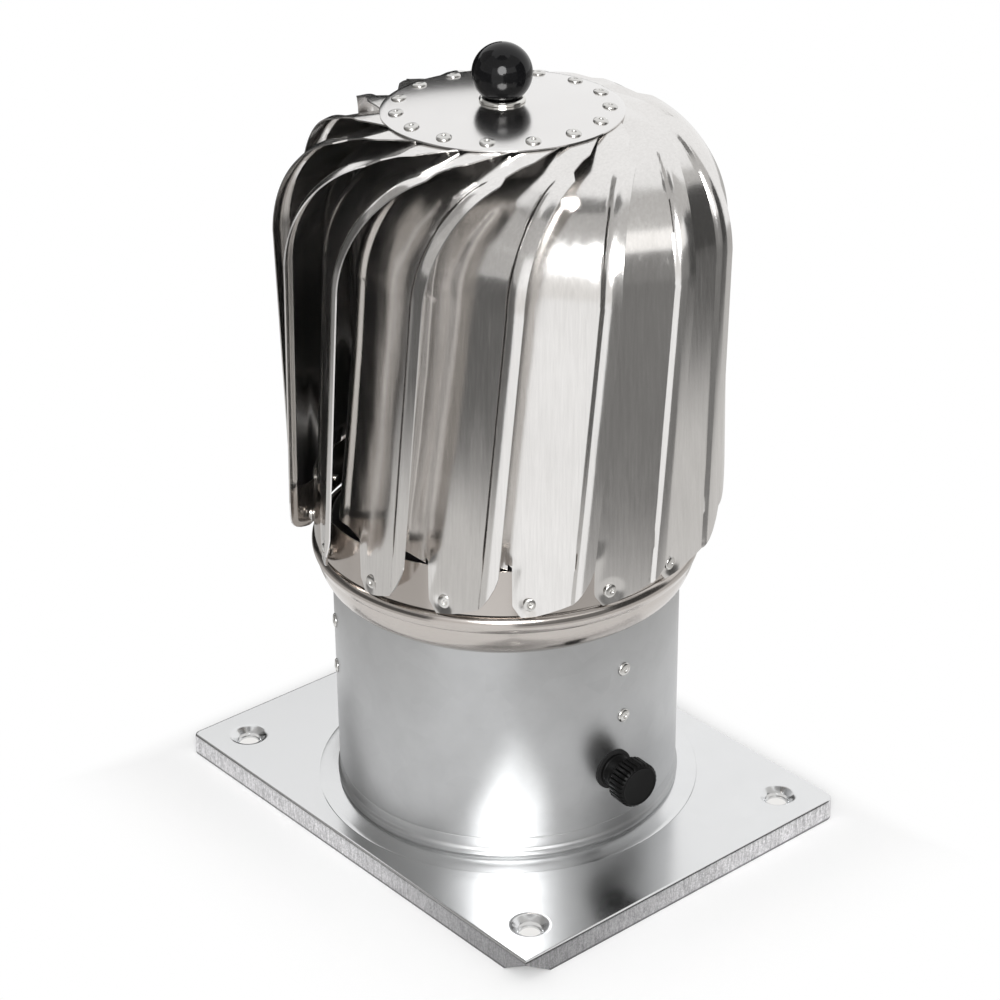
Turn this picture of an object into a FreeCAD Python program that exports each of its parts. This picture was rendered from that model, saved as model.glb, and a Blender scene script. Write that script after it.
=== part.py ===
import FreeCAD, Part

import math
import os

V = FreeCAD.Vector
UP = V(0, 0, 1)

# Roof turbine ventilator. Millimetres, +Z up. The origin is the middle of the base plate's
# underside, on the spin axis. X runs along the plate's short side, Y along its long side.

# Base plate: galvanised sheet with four lips folded down
PLATE_X = 182.0
PLATE_Y = 232.0
PLATE_T = 1.0
LIP_HEIGHT = 10.0
PLATE_BEND_R = 2.2
LIP_MITRE = 9.0
SCREW_INSET = 18.5
SCREW_HOLE_D = 7.0
DIMPLE_D = 17.0
DIMPLE_DEPTH = 1.8

# Neck pipe: galvanised, beaded above the plate and flanged below it
NECK_D = 150.0
NECK_T = 0.7
NECK_TOP_Z = 137.0
PLATE_HOLE_CLEARANCE = 0.1
SEAT_GAP = 0.05
NECK_FLANGE_WIDTH = 4.0
LOWER_BEAD_HEIGHT = 5.8
LOWER_BEAD_OUT = 1.3
UPPER_BEAD_HEIGHT = 5.4
UPPER_BEAD_OUT = 0.8

# Drip ring: stainless funnel round the neck with a curled rim
RING_SKIRT_DROP = 25.0
RING_SKIRT_HEIGHT = 2.0
RING_T = 0.6
RING_NECK_GAP = 0.05
RING_CURL_DROP = 10.5
CURL_D = 5.8
CURL_FROM_NECK = 5.6
CURL_START = 225
CURL_STEP = 45
CURL_SWEEP = 315

# Spider: three arms with tabs riveted inside the neck
ARM_COUNT = 3
FIRST_ARM_ANGLE = -90.0
ARM_WIDTH = 20.0
SPIDER_T = 2.0
SPIDER_DROP = 36.0
SPIDER_HUB_D = 66.0
SPIDER_TAB_GAP = 0.05
NECK_RIVET_DROP = 44.0
NECK_RIVET_PITCH = 22.5
TAB_MARGIN = 8.0

# Blind rivets
RIVET_D = 3.2
RIVET_HEAD_D = 6.4
RIVET_HEAD_H = 1.5
RIVET_HEAD_TOP_D = 3.6
RIVET_TAIL_D = 4.6
RIVET_TAIL_H = 1.4
RIVET_CLEARANCE = 0.05

# Bearing housing, bearings and their screws
HOUSING_FLANGE_D = 60.0
HOUSING_FLANGE_T = 4.0
HOUSING_D = 32.0
HOUSING_HEIGHT = 50.0
BEARING_D = 26.0
BEARING_BORE_D = 10.0
BEARING_WIDTH = 8.0
BEARING_RACE_D = 15.0
BEARING_RACE_GAP = 0.15
BEARING_FIT = 0.02
SHOULDER_D = 23.0
CIRCLIP_T = 1.2
CIRCLIP_WIDTH = 2.0
CIRCLIP_GAP_ANGLE = 40.0
CIRCLIP_DEPTH = 0.8
SCREW_D = 4.0
SCREW_CIRCLE_D = 48.0
SCREW_HEAD_D = 7.0
SCREW_HEAD_H = 3.0
SCREW_CLEARANCE = 0.15
SCREW_PAST_NUT = 0.5
NUT_ACROSS = 7.0
NUT_H = 3.2

# Assist motor under the spider
MOTOR_D = 60.0
MOTOR_DEPTH = 30.0
MOTOR_T = 2.0
MOTOR_SHAFT_HOLE_D = 14.0
STATOR_FIT = 0.1
STATOR_BORE_D = 42.0
STATOR_HEIGHT = 18.0
AIR_GAP = 0.6
MOTOR_COVER_T = 2.5

# Shaft, hub flange, washer and ball knob
SHAFT_D = 10.0
SHAFT_SHOULDER_D = 14.0
SHAFT_SHOULDER_H = 5.0
SHAFT_FIT = 0.02
SHAFT_END_BELOW_MAGNET = 2.0
STUD_D = 8.0
STUD_IN_KNOB = 9.0
HUB_FLANGE_D = 40.0
HUB_FLANGE_T = 3.6
HUB_BOSS_D = 20.0
HUB_BOSS_H = 12.0
WASHER_D = 18.8
WASHER_T = 1.6
KNOB_D = 24.4
KNOB_FLAT_D = 14.8

# Top disc, crowned by the flange that clamps its middle
DISC_D = 98.0
DISC_T = 1.0
DISC_CROWN = 3.5
DISC_RIVET_INSET = 6.2
DISC_RIVET_LEAD = 57.3

# Rotor collar, hung round the neck's end just above the drip ring
COLLAR_FROM_NECK = 7.0
COLLAR_T = 0.6
COLLAR_OVER_CURL = 0.9
COLLAR_HEIGHT = 20.3
COLLAR_RIVET_RISE = 5.4

# Vanes. Each is a strip bent over a shoulder. u points outwards across the strip's plane,
# w runs across its width, anticlockwise seen from above.
VANE_COUNT = 15
VANE_T = 0.6
VANE_FIRST_ANGLE = -4.0
VANE_SKEW = 17.0
VANE_RISE = 1.6
VANE_LEG_INSET = 1.6
VANE_LEAN = 3.05
VANE_LEG_HEIGHT = 131.9
VANE_SHOULDER_R = 50.5
VANE_TOP_SLOPE = 17.1
VANE_LANDING_MARGIN = 6.5
VANE_END_U = 4.0
VANE_WIDTH = 43.6
VANE_INNER_W_LOW = 6.3
VANE_INNER_W_HIGH = 15.3
VANE_BEAD_WIDTH = 8.0
VANE_BEAD_OUT = 1.4
VANE_BEAD_EDGE = 0.2
VANE_SLOT_WIDTH = 1.5
VANE_SLOT_OVER_COLLAR = 4.5
VANE_FLANGE_IN_COLLAR = 0.9
TAB_INNER_W = 17.0
TAB_BEND_W = 28.5
TAB_GAP = 0.1
TAB_OVER_COLLAR = 0.3
TAB_CHAMFER = 4.0
TAB_CORNER_WIDTH = 8.0
TAB_CORNER_HEIGHT = 10.0

# Outline of the vane's tongue seen from above, w measured from the disc rivet
TONGUE_INNER = 5.6
TONGUE_TAPER_END_U = 31.0
TONGUE_TAPER_START_U = 60.0
TONGUE_TIP_OUTER = 6.6
TONGUE_WAIST_OUTER = 12.8
TONGUE_WAIST_U = 20.0
TONGUE_KINK_OUTER = 13.8
TONGUE_KINK_U = 33.0
TONGUE_KINK_START_U = 38.0

# Cable gland on the neck, closed with a blank
GLAND_ANGLE = -94.0
GLAND_Z = 46.0
GLAND_THREAD_D = 12.0
GLAND_BODY_D = 15.6
GLAND_BODY_LENGTH = 8.0
GLAND_FLANGE_D = 18.0
GLAND_FLANGE_T = 1.5
GLAND_NUT_D = 19.6
GLAND_NUT_LENGTH = 9.0
GLAND_RIB_COUNT = 16
GLAND_RIB_D = 1.6
GLAND_SLEEVE_D = 12.4
GLAND_SLEEVE_LENGTH = 7.0
GLAND_FACE_T = 2.0
GLAND_FIT = 0.1
GLAND_SOLE = 0.6
GLAND_THREAD_PAST_NUT = 1.5
GLAND_BLANK_LENGTH = 6.5
GLAND_BORE_D = 8.0
GLAND_WASHER_T = 1.0
LOCKNUT_ACROSS = 17.0
LOCKNUT_T = 4.0

# Values worked out from the sizes above
NECK_R = NECK_D / 2
NECK_BORE_R = NECK_R - NECK_T
NECK_RIVET_TOP_Z = NECK_TOP_Z - NECK_RIVET_DROP
PLATE_UNDERSIDE_Z = LIP_HEIGHT - PLATE_T
RIVET_HOLE_R = RIVET_D / 2 + RIVET_CLEARANCE
RING_SKIRT_Z = NECK_TOP_Z - RING_SKIRT_DROP
CURL_BOTTOM_Z = NECK_TOP_Z - RING_CURL_DROP
CURL_CENTRE_R = NECK_R + CURL_FROM_NECK
SPIDER_Z = NECK_TOP_Z - SPIDER_DROP
COLLAR_R = NECK_R + COLLAR_FROM_NECK
COLLAR_BOTTOM_Z = CURL_BOTTOM_Z + CURL_D + COLLAR_OVER_CURL
COLLAR_TOP_Z = COLLAR_BOTTOM_Z + COLLAR_HEIGHT
COLLAR_RIVET_Z = COLLAR_BOTTOM_Z + COLLAR_RIVET_RISE
TAB_R = COLLAR_R + TAB_GAP
TAB_TOP_Z = COLLAR_TOP_Z + TAB_OVER_COLLAR
VANE_BOTTOM_Z = COLLAR_BOTTOM_Z + VANE_RISE
VANE_FLANGE_Z = COLLAR_TOP_Z - VANE_FLANGE_IN_COLLAR
VANE_SLOT_TOP_Z = COLLAR_TOP_Z + VANE_SLOT_OVER_COLLAR
VANE_SHOULDER_Z = VANE_BOTTOM_Z + VANE_LEG_HEIGHT
VANE_LEG_U = COLLAR_R - VANE_LEG_INSET
LEAN = math.radians(VANE_LEAN)
TOP_SLOPE = math.radians(VANE_TOP_SLOPE)
VANE_DRIFT = (VANE_INNER_W_HIGH - VANE_INNER_W_LOW) / (VANE_SHOULDER_Z - VANE_FLANGE_Z)
SHOULDER_U = VANE_LEG_U - VANE_LEG_HEIGHT * math.tan(LEAN)
ARC_U = SHOULDER_U - VANE_SHOULDER_R * math.cos(LEAN)
ARC_Z = VANE_SHOULDER_Z - VANE_SHOULDER_R * math.sin(LEAN)
SLOPE_U = ARC_U + VANE_SHOULDER_R * math.sin(TOP_SLOPE)
SLOPE_Z = ARC_Z + VANE_SHOULDER_R * math.cos(TOP_SLOPE)

# The crowned disc's faces are parts of spheres about one centre on the axis. The disc's height
# follows from the vanes: their slope reaches the disc just outside each disc rivet.
DISC_R = DISC_D / 2
DISC_RIVET_R = DISC_R - DISC_RIVET_INSET
CROWN_R = (DISC_R ** 2 + DISC_CROWN ** 2) / (2 * DISC_CROWN)
TONGUE_CROWN_R = CROWN_R - DISC_T - SEAT_GAP
RIVET_TURN = math.radians(DISC_RIVET_LEAD + VANE_SKEW)
DISC_RIVET_U = DISC_RIVET_R * math.cos(RIVET_TURN)
DISC_RIVET_W = DISC_RIVET_R * math.sin(RIVET_TURN)
LANDING_U = DISC_RIVET_U + VANE_LANDING_MARGIN
LANDING_Z = SLOPE_Z + (SLOPE_U - LANDING_U) * math.tan(TOP_SLOPE)
LANDING_R = math.hypot(LANDING_U, DISC_RIVET_W)
CROWN_CENTRE_Z = LANDING_Z - math.sqrt(TONGUE_CROWN_R ** 2 - LANDING_R ** 2)
CROWN_TOP_Z = CROWN_CENTRE_Z + CROWN_R
HOUSING_Z = SPIDER_Z + SPIDER_T
HOUSING_TOP_Z = HOUSING_Z + HOUSING_HEIGHT
LOWER_BEARING_Z = HOUSING_Z + SEAT_GAP
UPPER_BEARING_Z = HOUSING_TOP_Z - BEARING_WIDTH - 2 * CIRCLIP_T
MOTOR_TOP_Z = SPIDER_Z
MOTOR_BOTTOM_Z = MOTOR_TOP_Z - MOTOR_DEPTH
MAGNET_Z = MOTOR_BOTTOM_Z + (MOTOR_DEPTH - STATOR_HEIGHT) / 2
SHAFT_BOTTOM_Z = MAGNET_Z - SHAFT_END_BELOW_MAGNET
SHOULDER_BOTTOM_Z = UPPER_BEARING_Z + BEARING_WIDTH + SEAT_GAP
HUB_TOP_Z = CROWN_TOP_Z - DISC_T - 2 * SEAT_GAP
HUB_BOTTOM_Z = HUB_TOP_Z - HUB_FLANGE_T - HUB_BOSS_H
WASHER_Z = CROWN_TOP_Z
KNOB_Z = WASHER_Z + WASHER_T
KNOB_R = KNOB_D / 2
KNOB_CENTRE_Z = KNOB_Z + math.sqrt(KNOB_R ** 2 - (KNOB_FLAT_D / 2) ** 2)


def cylinder(radius, bottom, top, centre=(0, 0)):
    return Part.makeCylinder(radius, top - bottom, V(centre[0], centre[1], bottom))


def tube(inner, outer, bottom, top):
    return cylinder(outer, bottom, top).cut(cylinder(inner, bottom - 1, top + 1))


def polar(radius, angle, z=0.0):
    turn = math.radians(angle)
    return V(radius * math.cos(turn), radius * math.sin(turn), z)


def edges(points):
    """Lines through points; a triple (mid, end) as a pair draws an arc from the last point."""
    made = []
    last = points[0]
    for step in points[1:]:
        if isinstance(step, tuple):
            made.append(Part.Arc(last, step[0], step[1]).toShape())
            last = step[1]
        else:
            made.append(Part.makeLine(last, step))
            last = step
    return made


def lathe(profile):
    """Solid of revolution about Z from (radius, z) pairs; a pair of pairs is an arc."""
    points = []
    for step in profile + profile[:1]:
        if isinstance(step[0], tuple):
            points.append((V(step[0][0], 0, step[0][1]), V(step[1][0], 0, step[1][1])))
        else:
            points.append(V(step[0], 0, step[1]))
    face = Part.Face(Part.Wire(edges(points)))
    return face.revolve(V(0, 0, 0), UP, 360)


def turned(shape, angle):
    copy = shape.copy()
    copy.rotate(V(0, 0, 0), UP, angle)
    return copy


def hexagon(across, bottom, height):
    corner = across / math.sqrt(3)
    points = [polar(corner, 60 * k, bottom) for k in range(7)]
    return Part.Face(Part.makePolygon(points)).extrude(V(0, 0, height))


def outwards(shape, angle, radius, z):
    """Lays a shape built along +Z so that it points out of the neck at angle and height z."""
    copy = shape.copy()
    copy.rotate(V(0, 0, 0), V(0, 1, 0), 90)
    copy.rotate(V(0, 0, 0), UP, angle)
    copy.translate(polar(radius, angle, z))
    return copy


def crown_ball(radius):
    """Ball about the centre of the disc's crown."""
    return Part.makeSphere(radius, V(0, 0, CROWN_CENTRE_Z))


def on_crown(shape, angle, radius):
    """Lays a shape built along +Z square to the crown, over the disc's rivet circle."""
    copy = shape.translated(V(0, 0, radius))
    copy.rotate(V(0, 0, 0), V(0, 1, 0), math.degrees(math.asin(DISC_RIVET_R / CROWN_R)))
    copy.rotate(V(0, 0, 0), UP, angle)
    copy.translate(V(0, 0, CROWN_CENTRE_Z))
    return copy


def rivet(grip):
    """Blind rivet along Z: the head sits on z = 0, and the tail lies below the grip."""
    body = RIVET_D / 2
    profile = [
        (0, RIVET_HEAD_H),
        (RIVET_HEAD_TOP_D / 2, RIVET_HEAD_H),
        (RIVET_HEAD_D / 2, RIVET_HEAD_H / 4),
        (RIVET_HEAD_D / 2, 0),
        (body, 0),
        (body, -grip),
        (RIVET_TAIL_D / 2, -grip),
        (body, -grip - RIVET_TAIL_H),
        (0, -grip - RIVET_TAIL_H),
    ]
    return lathe(profile)


# Base plate


def plate_corners():
    return [(sx, sy) for sx in (1, -1) for sy in (1, -1)]


def screw_places():
    x = PLATE_X / 2 - SCREW_INSET
    y = PLATE_Y / 2 - SCREW_INSET
    return [(sx * x, sy * y) for sx, sy in plate_corners()]


def rounded_block(size_x, size_y, bottom, top, radius):
    block = Part.makeBox(size_x, size_y, top - bottom, V(-size_x / 2, -size_y / 2, bottom))
    upper = [e for e in block.Edges if min(v.Z for v in e.Vertexes) > top - 1e-6]
    return block.makeFillet(radius, upper)


def lip_mitre(along_x, sx, sy):
    """Wedge that cuts one lip's end at 45 degrees, from its corner down."""
    reach = 2 * PLATE_BEND_R
    top = LIP_HEIGHT - PLATE_BEND_R
    if along_x:
        corner = V(sx * (PLATE_X / 2 + 1), sy * (PLATE_Y / 2 + 1), top)
        run = V(-sx * (LIP_MITRE + 1), 0, 0)
        through = V(0, -sy * reach, 0)
    else:
        corner = V(sx * (PLATE_X / 2 + 1), sy * (PLATE_Y / 2 + 1), top)
        run = V(0, -sy * (LIP_MITRE + 1), 0)
        through = V(-sx * reach, 0, 0)
    low = V(corner.x, corner.y, -1)
    outline = Part.makePolygon([corner, low, low + run, corner])
    return Part.Face(outline).extrude(through)


def base_plate():
    outer = rounded_block(PLATE_X, PLATE_Y, 0, LIP_HEIGHT, PLATE_BEND_R)
    inner = rounded_block(
        PLATE_X - 2 * PLATE_T,
        PLATE_Y - 2 * PLATE_T,
        -1,
        PLATE_UNDERSIDE_Z,
        PLATE_BEND_R - PLATE_T,
    )
    plate = outer.cut(inner)
    for sx, sy in plate_corners():
        plate = plate.cut(lip_mitre(True, sx, sy)).cut(lip_mitre(False, sx, sy))
    flat_r = SCREW_HOLE_D / 2 + 1.5
    for x, y in screw_places():
        plate = plate.cut(cylinder(DIMPLE_D / 2, -1, LIP_HEIGHT + 1, (x, y)))
        dimple = lathe([
            (SCREW_HOLE_D / 2, LIP_HEIGHT - DIMPLE_DEPTH),
            (flat_r, LIP_HEIGHT - DIMPLE_DEPTH),
            (DIMPLE_D / 2, LIP_HEIGHT),
            (DIMPLE_D / 2, PLATE_UNDERSIDE_Z),
            (flat_r, PLATE_UNDERSIDE_Z - DIMPLE_DEPTH),
            (SCREW_HOLE_D / 2, PLATE_UNDERSIDE_Z - DIMPLE_DEPTH),
        ])
        dimple.translate(V(x, y, 0))
        plate = plate.fuse(dimple)
    hole = cylinder(NECK_R + PLATE_HOLE_CLEARANCE, -1, LIP_HEIGHT + 1)
    return plate.cut(hole).removeSplitter()


# Neck pipe and drip ring


def neck_rivet_heights():
    return [NECK_RIVET_TOP_Z, NECK_RIVET_TOP_Z - NECK_RIVET_PITCH]


def arm_angles():
    return [FIRST_ARM_ANGLE + 360 / ARM_COUNT * k for k in range(ARM_COUNT)]


def neck_pipe():
    r = NECK_R
    low = LIP_HEIGHT + SEAT_GAP
    mid = low + LOWER_BEAD_HEIGHT
    high = mid + UPPER_BEAD_HEIGHT
    under = PLATE_UNDERSIDE_Z - SEAT_GAP
    pipe = lathe([
        (r, NECK_TOP_Z),
        (r - NECK_T, NECK_TOP_Z),
        (r - NECK_T, under - NECK_T),
        (r + NECK_FLANGE_WIDTH, under - NECK_T),
        (r + NECK_FLANGE_WIDTH, under),
        (r, under),
        (r, low),
        (r + LOWER_BEAD_OUT, low),
        (r + LOWER_BEAD_OUT, mid - LOWER_BEAD_OUT),
        (r, mid),
        (r + UPPER_BEAD_OUT, mid + UPPER_BEAD_OUT),
        (r + UPPER_BEAD_OUT, high - UPPER_BEAD_OUT),
        (r, high),
    ])
    drill = Part.makeCylinder(RIVET_HOLE_R, 4 * NECK_T, V(0, 0, -2 * NECK_T))
    for angle in arm_angles():
        for z in neck_rivet_heights():
            pipe = pipe.cut(outwards(drill, angle, NECK_R, z))
    gland_hole = GLAND_THREAD_D / 2 + GLAND_FIT
    bore = Part.makeCylinder(gland_hole, 8 * NECK_T, V(0, 0, -4 * NECK_T))
    return pipe.cut(outwards(bore, GLAND_ANGLE, NECK_R, GLAND_Z))


def curl_profile(radius):
    """Points of the curled rim's section, from the funnel over the top and back under."""
    centre_z = CURL_BOTTOM_Z + CURL_D / 2
    turns = [math.radians(CURL_START - k) for k in range(0, CURL_SWEEP + 1, CURL_STEP)]
    return [
        (CURL_CENTRE_R + radius * math.cos(t), centre_z + radius * math.sin(t)) for t in turns
    ]


def drip_ring():
    r = NECK_R + RING_NECK_GAP
    skirt_top = RING_SKIRT_Z + RING_SKIRT_HEIGHT
    skirt = [(r, skirt_top), (r, RING_SKIRT_Z), (r + RING_T, RING_SKIRT_Z)]
    outer = curl_profile(CURL_D / 2)
    inner = curl_profile(CURL_D / 2 - RING_T)
    return lathe(skirt + [(r + RING_T, skirt_top)] + inner + outer[::-1])


def spider():
    tab_outer = NECK_BORE_R - SPIDER_TAB_GAP
    tab_bottom = neck_rivet_heights()[-1] - TAB_MARGIN
    top = SPIDER_Z + SPIDER_T
    plate = cylinder(SPIDER_HUB_D / 2, SPIDER_Z, top)
    band = tube(tab_outer - SPIDER_T, tab_outer, tab_bottom, top)
    for angle in arm_angles():
        strip = Part.makeBox(tab_outer, ARM_WIDTH, top, V(0, -ARM_WIDTH / 2, 0))
        arm = Part.makeBox(tab_outer, ARM_WIDTH, SPIDER_T, V(0, -ARM_WIDTH / 2, SPIDER_Z))
        arm = arm.common(cylinder(tab_outer, 0, top))
        plate = plate.fuse(turned(arm, angle)).fuse(band.common(turned(strip, angle)))
    plate = plate.cut(cylinder(MOTOR_SHAFT_HOLE_D / 2, 0, top + 1))
    for x, y in screw_ring():
        plate = plate.cut(cylinder(SCREW_D / 2 + SCREW_CLEARANCE, 0, top + 1, (x, y)))
    drill = Part.makeCylinder(RIVET_HOLE_R, 6 * SPIDER_T, V(0, 0, -3 * SPIDER_T))
    for angle in arm_angles():
        for z in neck_rivet_heights():
            plate = plate.cut(outwards(drill, angle, tab_outer, z))
    return plate.removeSplitter()


def spider_rivets():
    grip = NECK_T + SPIDER_TAB_GAP + SPIDER_T
    made = rivet(grip + 4 * SEAT_GAP)
    return [
        outwards(made, angle, NECK_R + SEAT_GAP, z)
        for angle in arm_angles()
        for z in neck_rivet_heights()
    ]


# Bearing housing and bearings


def screw_ring():
    half_step = 180 / ARM_COUNT
    places = [polar(SCREW_CIRCLE_D / 2, angle + half_step) for angle in arm_angles()]
    return [(p.x, p.y) for p in places]


def bearing_housing():
    outer = cylinder(HOUSING_FLANGE_D / 2, HOUSING_Z, HOUSING_Z + HOUSING_FLANGE_T)
    body = outer.fuse(cylinder(HOUSING_D / 2, HOUSING_Z, HOUSING_TOP_Z))
    seat = BEARING_D / 2 + BEARING_FIT
    body = body.cut(cylinder(seat, HOUSING_Z - 1, LOWER_BEARING_Z + BEARING_WIDTH))
    body = body.cut(cylinder(SHOULDER_D / 2, HOUSING_Z, HOUSING_TOP_Z))
    body = body.cut(cylinder(seat, UPPER_BEARING_Z, HOUSING_TOP_Z + 1))
    groove_z = UPPER_BEARING_Z + BEARING_WIDTH + SEAT_GAP
    groove = cylinder(seat + CIRCLIP_DEPTH, groove_z, groove_z + CIRCLIP_T + SEAT_GAP)
    body = body.cut(groove)
    for x, y in screw_ring():
        clear = SCREW_D / 2 + SCREW_CLEARANCE
        body = body.cut(cylinder(clear, 0, HOUSING_TOP_Z, (x, y)))
    return body.removeSplitter()


def bearing_levels():
    return [LOWER_BEARING_Z, UPPER_BEARING_Z + SEAT_GAP / 2]


def bearing_outer(z):
    """Outer ring with its two shields, which stop just short of the inner ring."""
    top = z + BEARING_WIDTH - SEAT_GAP
    return tube(BEARING_RACE_D / 2 + BEARING_RACE_GAP, BEARING_D / 2, z, top)


def bearing_inner(z):
    top = z + BEARING_WIDTH - SEAT_GAP
    return tube(BEARING_BORE_D / 2, BEARING_RACE_D / 2, z, top)


def circlip(inner, outer, z):
    ring = tube(inner, outer, z, z + CIRCLIP_T - SEAT_GAP)
    half = math.radians(CIRCLIP_GAP_ANGLE / 2)
    far = 2 * outer
    gap = Part.makePolygon([
        V(0, 0, z - 1),
        V(far, -far * math.tan(half), z - 1),
        V(far, far * math.tan(half), z - 1),
        V(0, 0, z - 1),
    ])
    return ring.cut(Part.Face(gap).extrude(V(0, 0, CIRCLIP_T + 2)))


def housing_circlip():
    outer = BEARING_D / 2 + CIRCLIP_DEPTH
    z = UPPER_BEARING_Z + BEARING_WIDTH + SEAT_GAP * 1.5
    return circlip(outer - CIRCLIP_WIDTH, outer, z)


def bearing_spacer():
    low = LOWER_BEARING_Z + BEARING_WIDTH
    return tube(SHAFT_D / 2 + SHAFT_FIT, SHAFT_SHOULDER_D / 2, low, UPPER_BEARING_Z)


def shaft_circlip():
    groove_r = SHAFT_D / 2 - CIRCLIP_DEPTH
    z = LOWER_BEARING_Z - CIRCLIP_T
    return circlip(groove_r + SHAFT_FIT, groove_r + CIRCLIP_WIDTH, z)


def housing_screws():
    top = HOUSING_Z + HOUSING_FLANGE_T + SEAT_GAP
    end = MOTOR_TOP_Z - MOTOR_T - NUT_H - SCREW_PAST_NUT
    screw = cylinder(SCREW_HEAD_D / 2, top, top + SCREW_HEAD_H)
    screw = screw.fuse(cylinder(SCREW_D / 2, end, top))
    return [screw.translated(V(x, y, 0)) for x, y in screw_ring()]


def housing_nuts():
    top = MOTOR_TOP_Z - MOTOR_T - SEAT_GAP
    nut = hexagon(NUT_ACROSS, top - NUT_H, NUT_H)
    nut = nut.cut(cylinder(SCREW_D / 2 + SEAT_GAP, top - NUT_H - 1, top + 1))
    return [nut.translated(V(x, y, 0)) for x, y in screw_ring()]


# Assist motor


def motor_housing():
    top = MOTOR_TOP_Z - SEAT_GAP
    outer = MOTOR_D / 2
    can = cylinder(outer, MOTOR_BOTTOM_Z, top)
    can = can.cut(cylinder(outer - MOTOR_T, MOTOR_BOTTOM_Z - 1, top - MOTOR_T))
    can = can.cut(cylinder(MOTOR_SHAFT_HOLE_D / 2, 0, top + 1))
    for x, y in screw_ring():
        can = can.cut(cylinder(SCREW_D / 2 + SCREW_CLEARANCE, 0, top + 1, (x, y)))
    return can


def stator_ring():
    outer = MOTOR_D / 2 - MOTOR_T - STATOR_FIT
    return tube(STATOR_BORE_D / 2, outer, MAGNET_Z, MAGNET_Z + STATOR_HEIGHT)


def motor_cover():
    outer = MOTOR_D / 2 - MOTOR_T - STATOR_FIT
    return cylinder(outer, MOTOR_BOTTOM_Z, MOTOR_BOTTOM_Z + MOTOR_COVER_T)


def magnet_rotor():
    outer = STATOR_BORE_D / 2 - AIR_GAP
    return tube(SHAFT_D / 2 + SHAFT_FIT, outer, MAGNET_Z, MAGNET_Z + STATOR_HEIGHT)


# Shaft and the parts clamped to the top disc


def shaft():
    r = SHAFT_D / 2
    inner_fit = r - SHAFT_FIT / 2
    collar = SHAFT_SHOULDER_D / 2
    clip = LOWER_BEARING_Z - CIRCLIP_T - SEAT_GAP
    return lathe([
        (0, SHAFT_BOTTOM_Z),
        (inner_fit, SHAFT_BOTTOM_Z),
        (inner_fit, clip),
        (r - CIRCLIP_DEPTH, clip),
        (r - CIRCLIP_DEPTH, LOWER_BEARING_Z),
        (inner_fit, LOWER_BEARING_Z),
        (inner_fit, SHOULDER_BOTTOM_Z),
        (collar, SHOULDER_BOTTOM_Z),
        (collar, SHOULDER_BOTTOM_Z + SHAFT_SHOULDER_H),
        (inner_fit, SHOULDER_BOTTOM_Z + SHAFT_SHOULDER_H),
        (inner_fit, HUB_TOP_Z),
        (STUD_D / 2, HUB_TOP_Z),
        (STUD_D / 2, KNOB_Z + STUD_IN_KNOB),
        (0, KNOB_Z + STUD_IN_KNOB),
    ])


def hub_flange():
    """Flanged boss; its top face has the same crown as the disc that it clamps."""
    step = HUB_TOP_Z - HUB_FLANGE_T
    bore = SHAFT_D / 2 + SHAFT_FIT
    body = lathe([
        (bore, HUB_TOP_Z),
        (HUB_FLANGE_D / 2, HUB_TOP_Z),
        (HUB_FLANGE_D / 2, step),
        (HUB_BOSS_D / 2, step),
        (HUB_BOSS_D / 2, HUB_BOTTOM_Z),
        (bore, HUB_BOTTOM_Z),
    ])
    return body.common(crown_ball(TONGUE_CROWN_R))


def knob_washer():
    bore = STUD_D / 2 + SEAT_GAP
    rim = WASHER_D / 2
    return lathe([
        (bore, WASHER_Z),
        (rim, WASHER_Z),
        (rim, WASHER_Z + WASHER_T / 2),
        (rim - WASHER_T / 2, WASHER_Z + WASHER_T),
        (bore, WASHER_Z + WASHER_T),
    ])


def ball_knob():
    ball = Part.makeSphere(KNOB_R, V(0, 0, KNOB_CENTRE_Z))
    ball = ball.cut(cylinder(KNOB_R, KNOB_CENTRE_Z - KNOB_D, KNOB_Z))
    return ball.cut(cylinder(STUD_D / 2 + SEAT_GAP, KNOB_Z - 1, KNOB_Z + STUD_IN_KNOB + SEAT_GAP))


# Top disc and rotor collar


def vane_angles():
    return [VANE_FIRST_ANGLE + 360 / VANE_COUNT * k for k in range(VANE_COUNT)]


def top_disc():
    blank = cylinder(DISC_R, CROWN_TOP_Z - 2 * DISC_CROWN, CROWN_TOP_Z + 1)
    disc = blank.common(crown_ball(CROWN_R)).cut(crown_ball(CROWN_R - DISC_T))
    disc = disc.cut(cylinder(STUD_D / 2 + SEAT_GAP, HUB_BOTTOM_Z, CROWN_TOP_Z + 1))
    drill = Part.makeCylinder(RIVET_HOLE_R, 4 * DISC_T, V(0, 0, -2 * DISC_T))
    for angle in vane_angles():
        disc = disc.cut(on_crown(drill, angle + DISC_RIVET_LEAD, CROWN_R))
    return disc


def rotor_collar():
    ring = tube(COLLAR_R - COLLAR_T, COLLAR_R, COLLAR_BOTTOM_Z, COLLAR_TOP_Z)
    drill = Part.makeCylinder(RIVET_HOLE_R, 6 * COLLAR_T, V(0, 0, -3 * COLLAR_T))
    for angle in vane_angles():
        ring = ring.cut(outwards(drill, angle, COLLAR_R, COLLAR_RIVET_Z))
    return ring


# Vanes


def vane_inner_w(z):
    return VANE_INNER_W_HIGH - VANE_DRIFT * (VANE_SHOULDER_Z - z)


def skin(inner, outer):
    """The strip's outside as (w, height) points, with a bead along each edge."""
    edge = VANE_BEAD_EDGE
    return [
        (inner, edge),
        (inner + VANE_BEAD_WIDTH / 2, VANE_BEAD_OUT),
        (inner + VANE_BEAD_WIDTH, 0.0),
        (outer - VANE_BEAD_WIDTH, 0.0),
        (outer - VANE_BEAD_WIDTH / 2, VANE_BEAD_OUT),
        (outer, edge),
    ]


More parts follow.
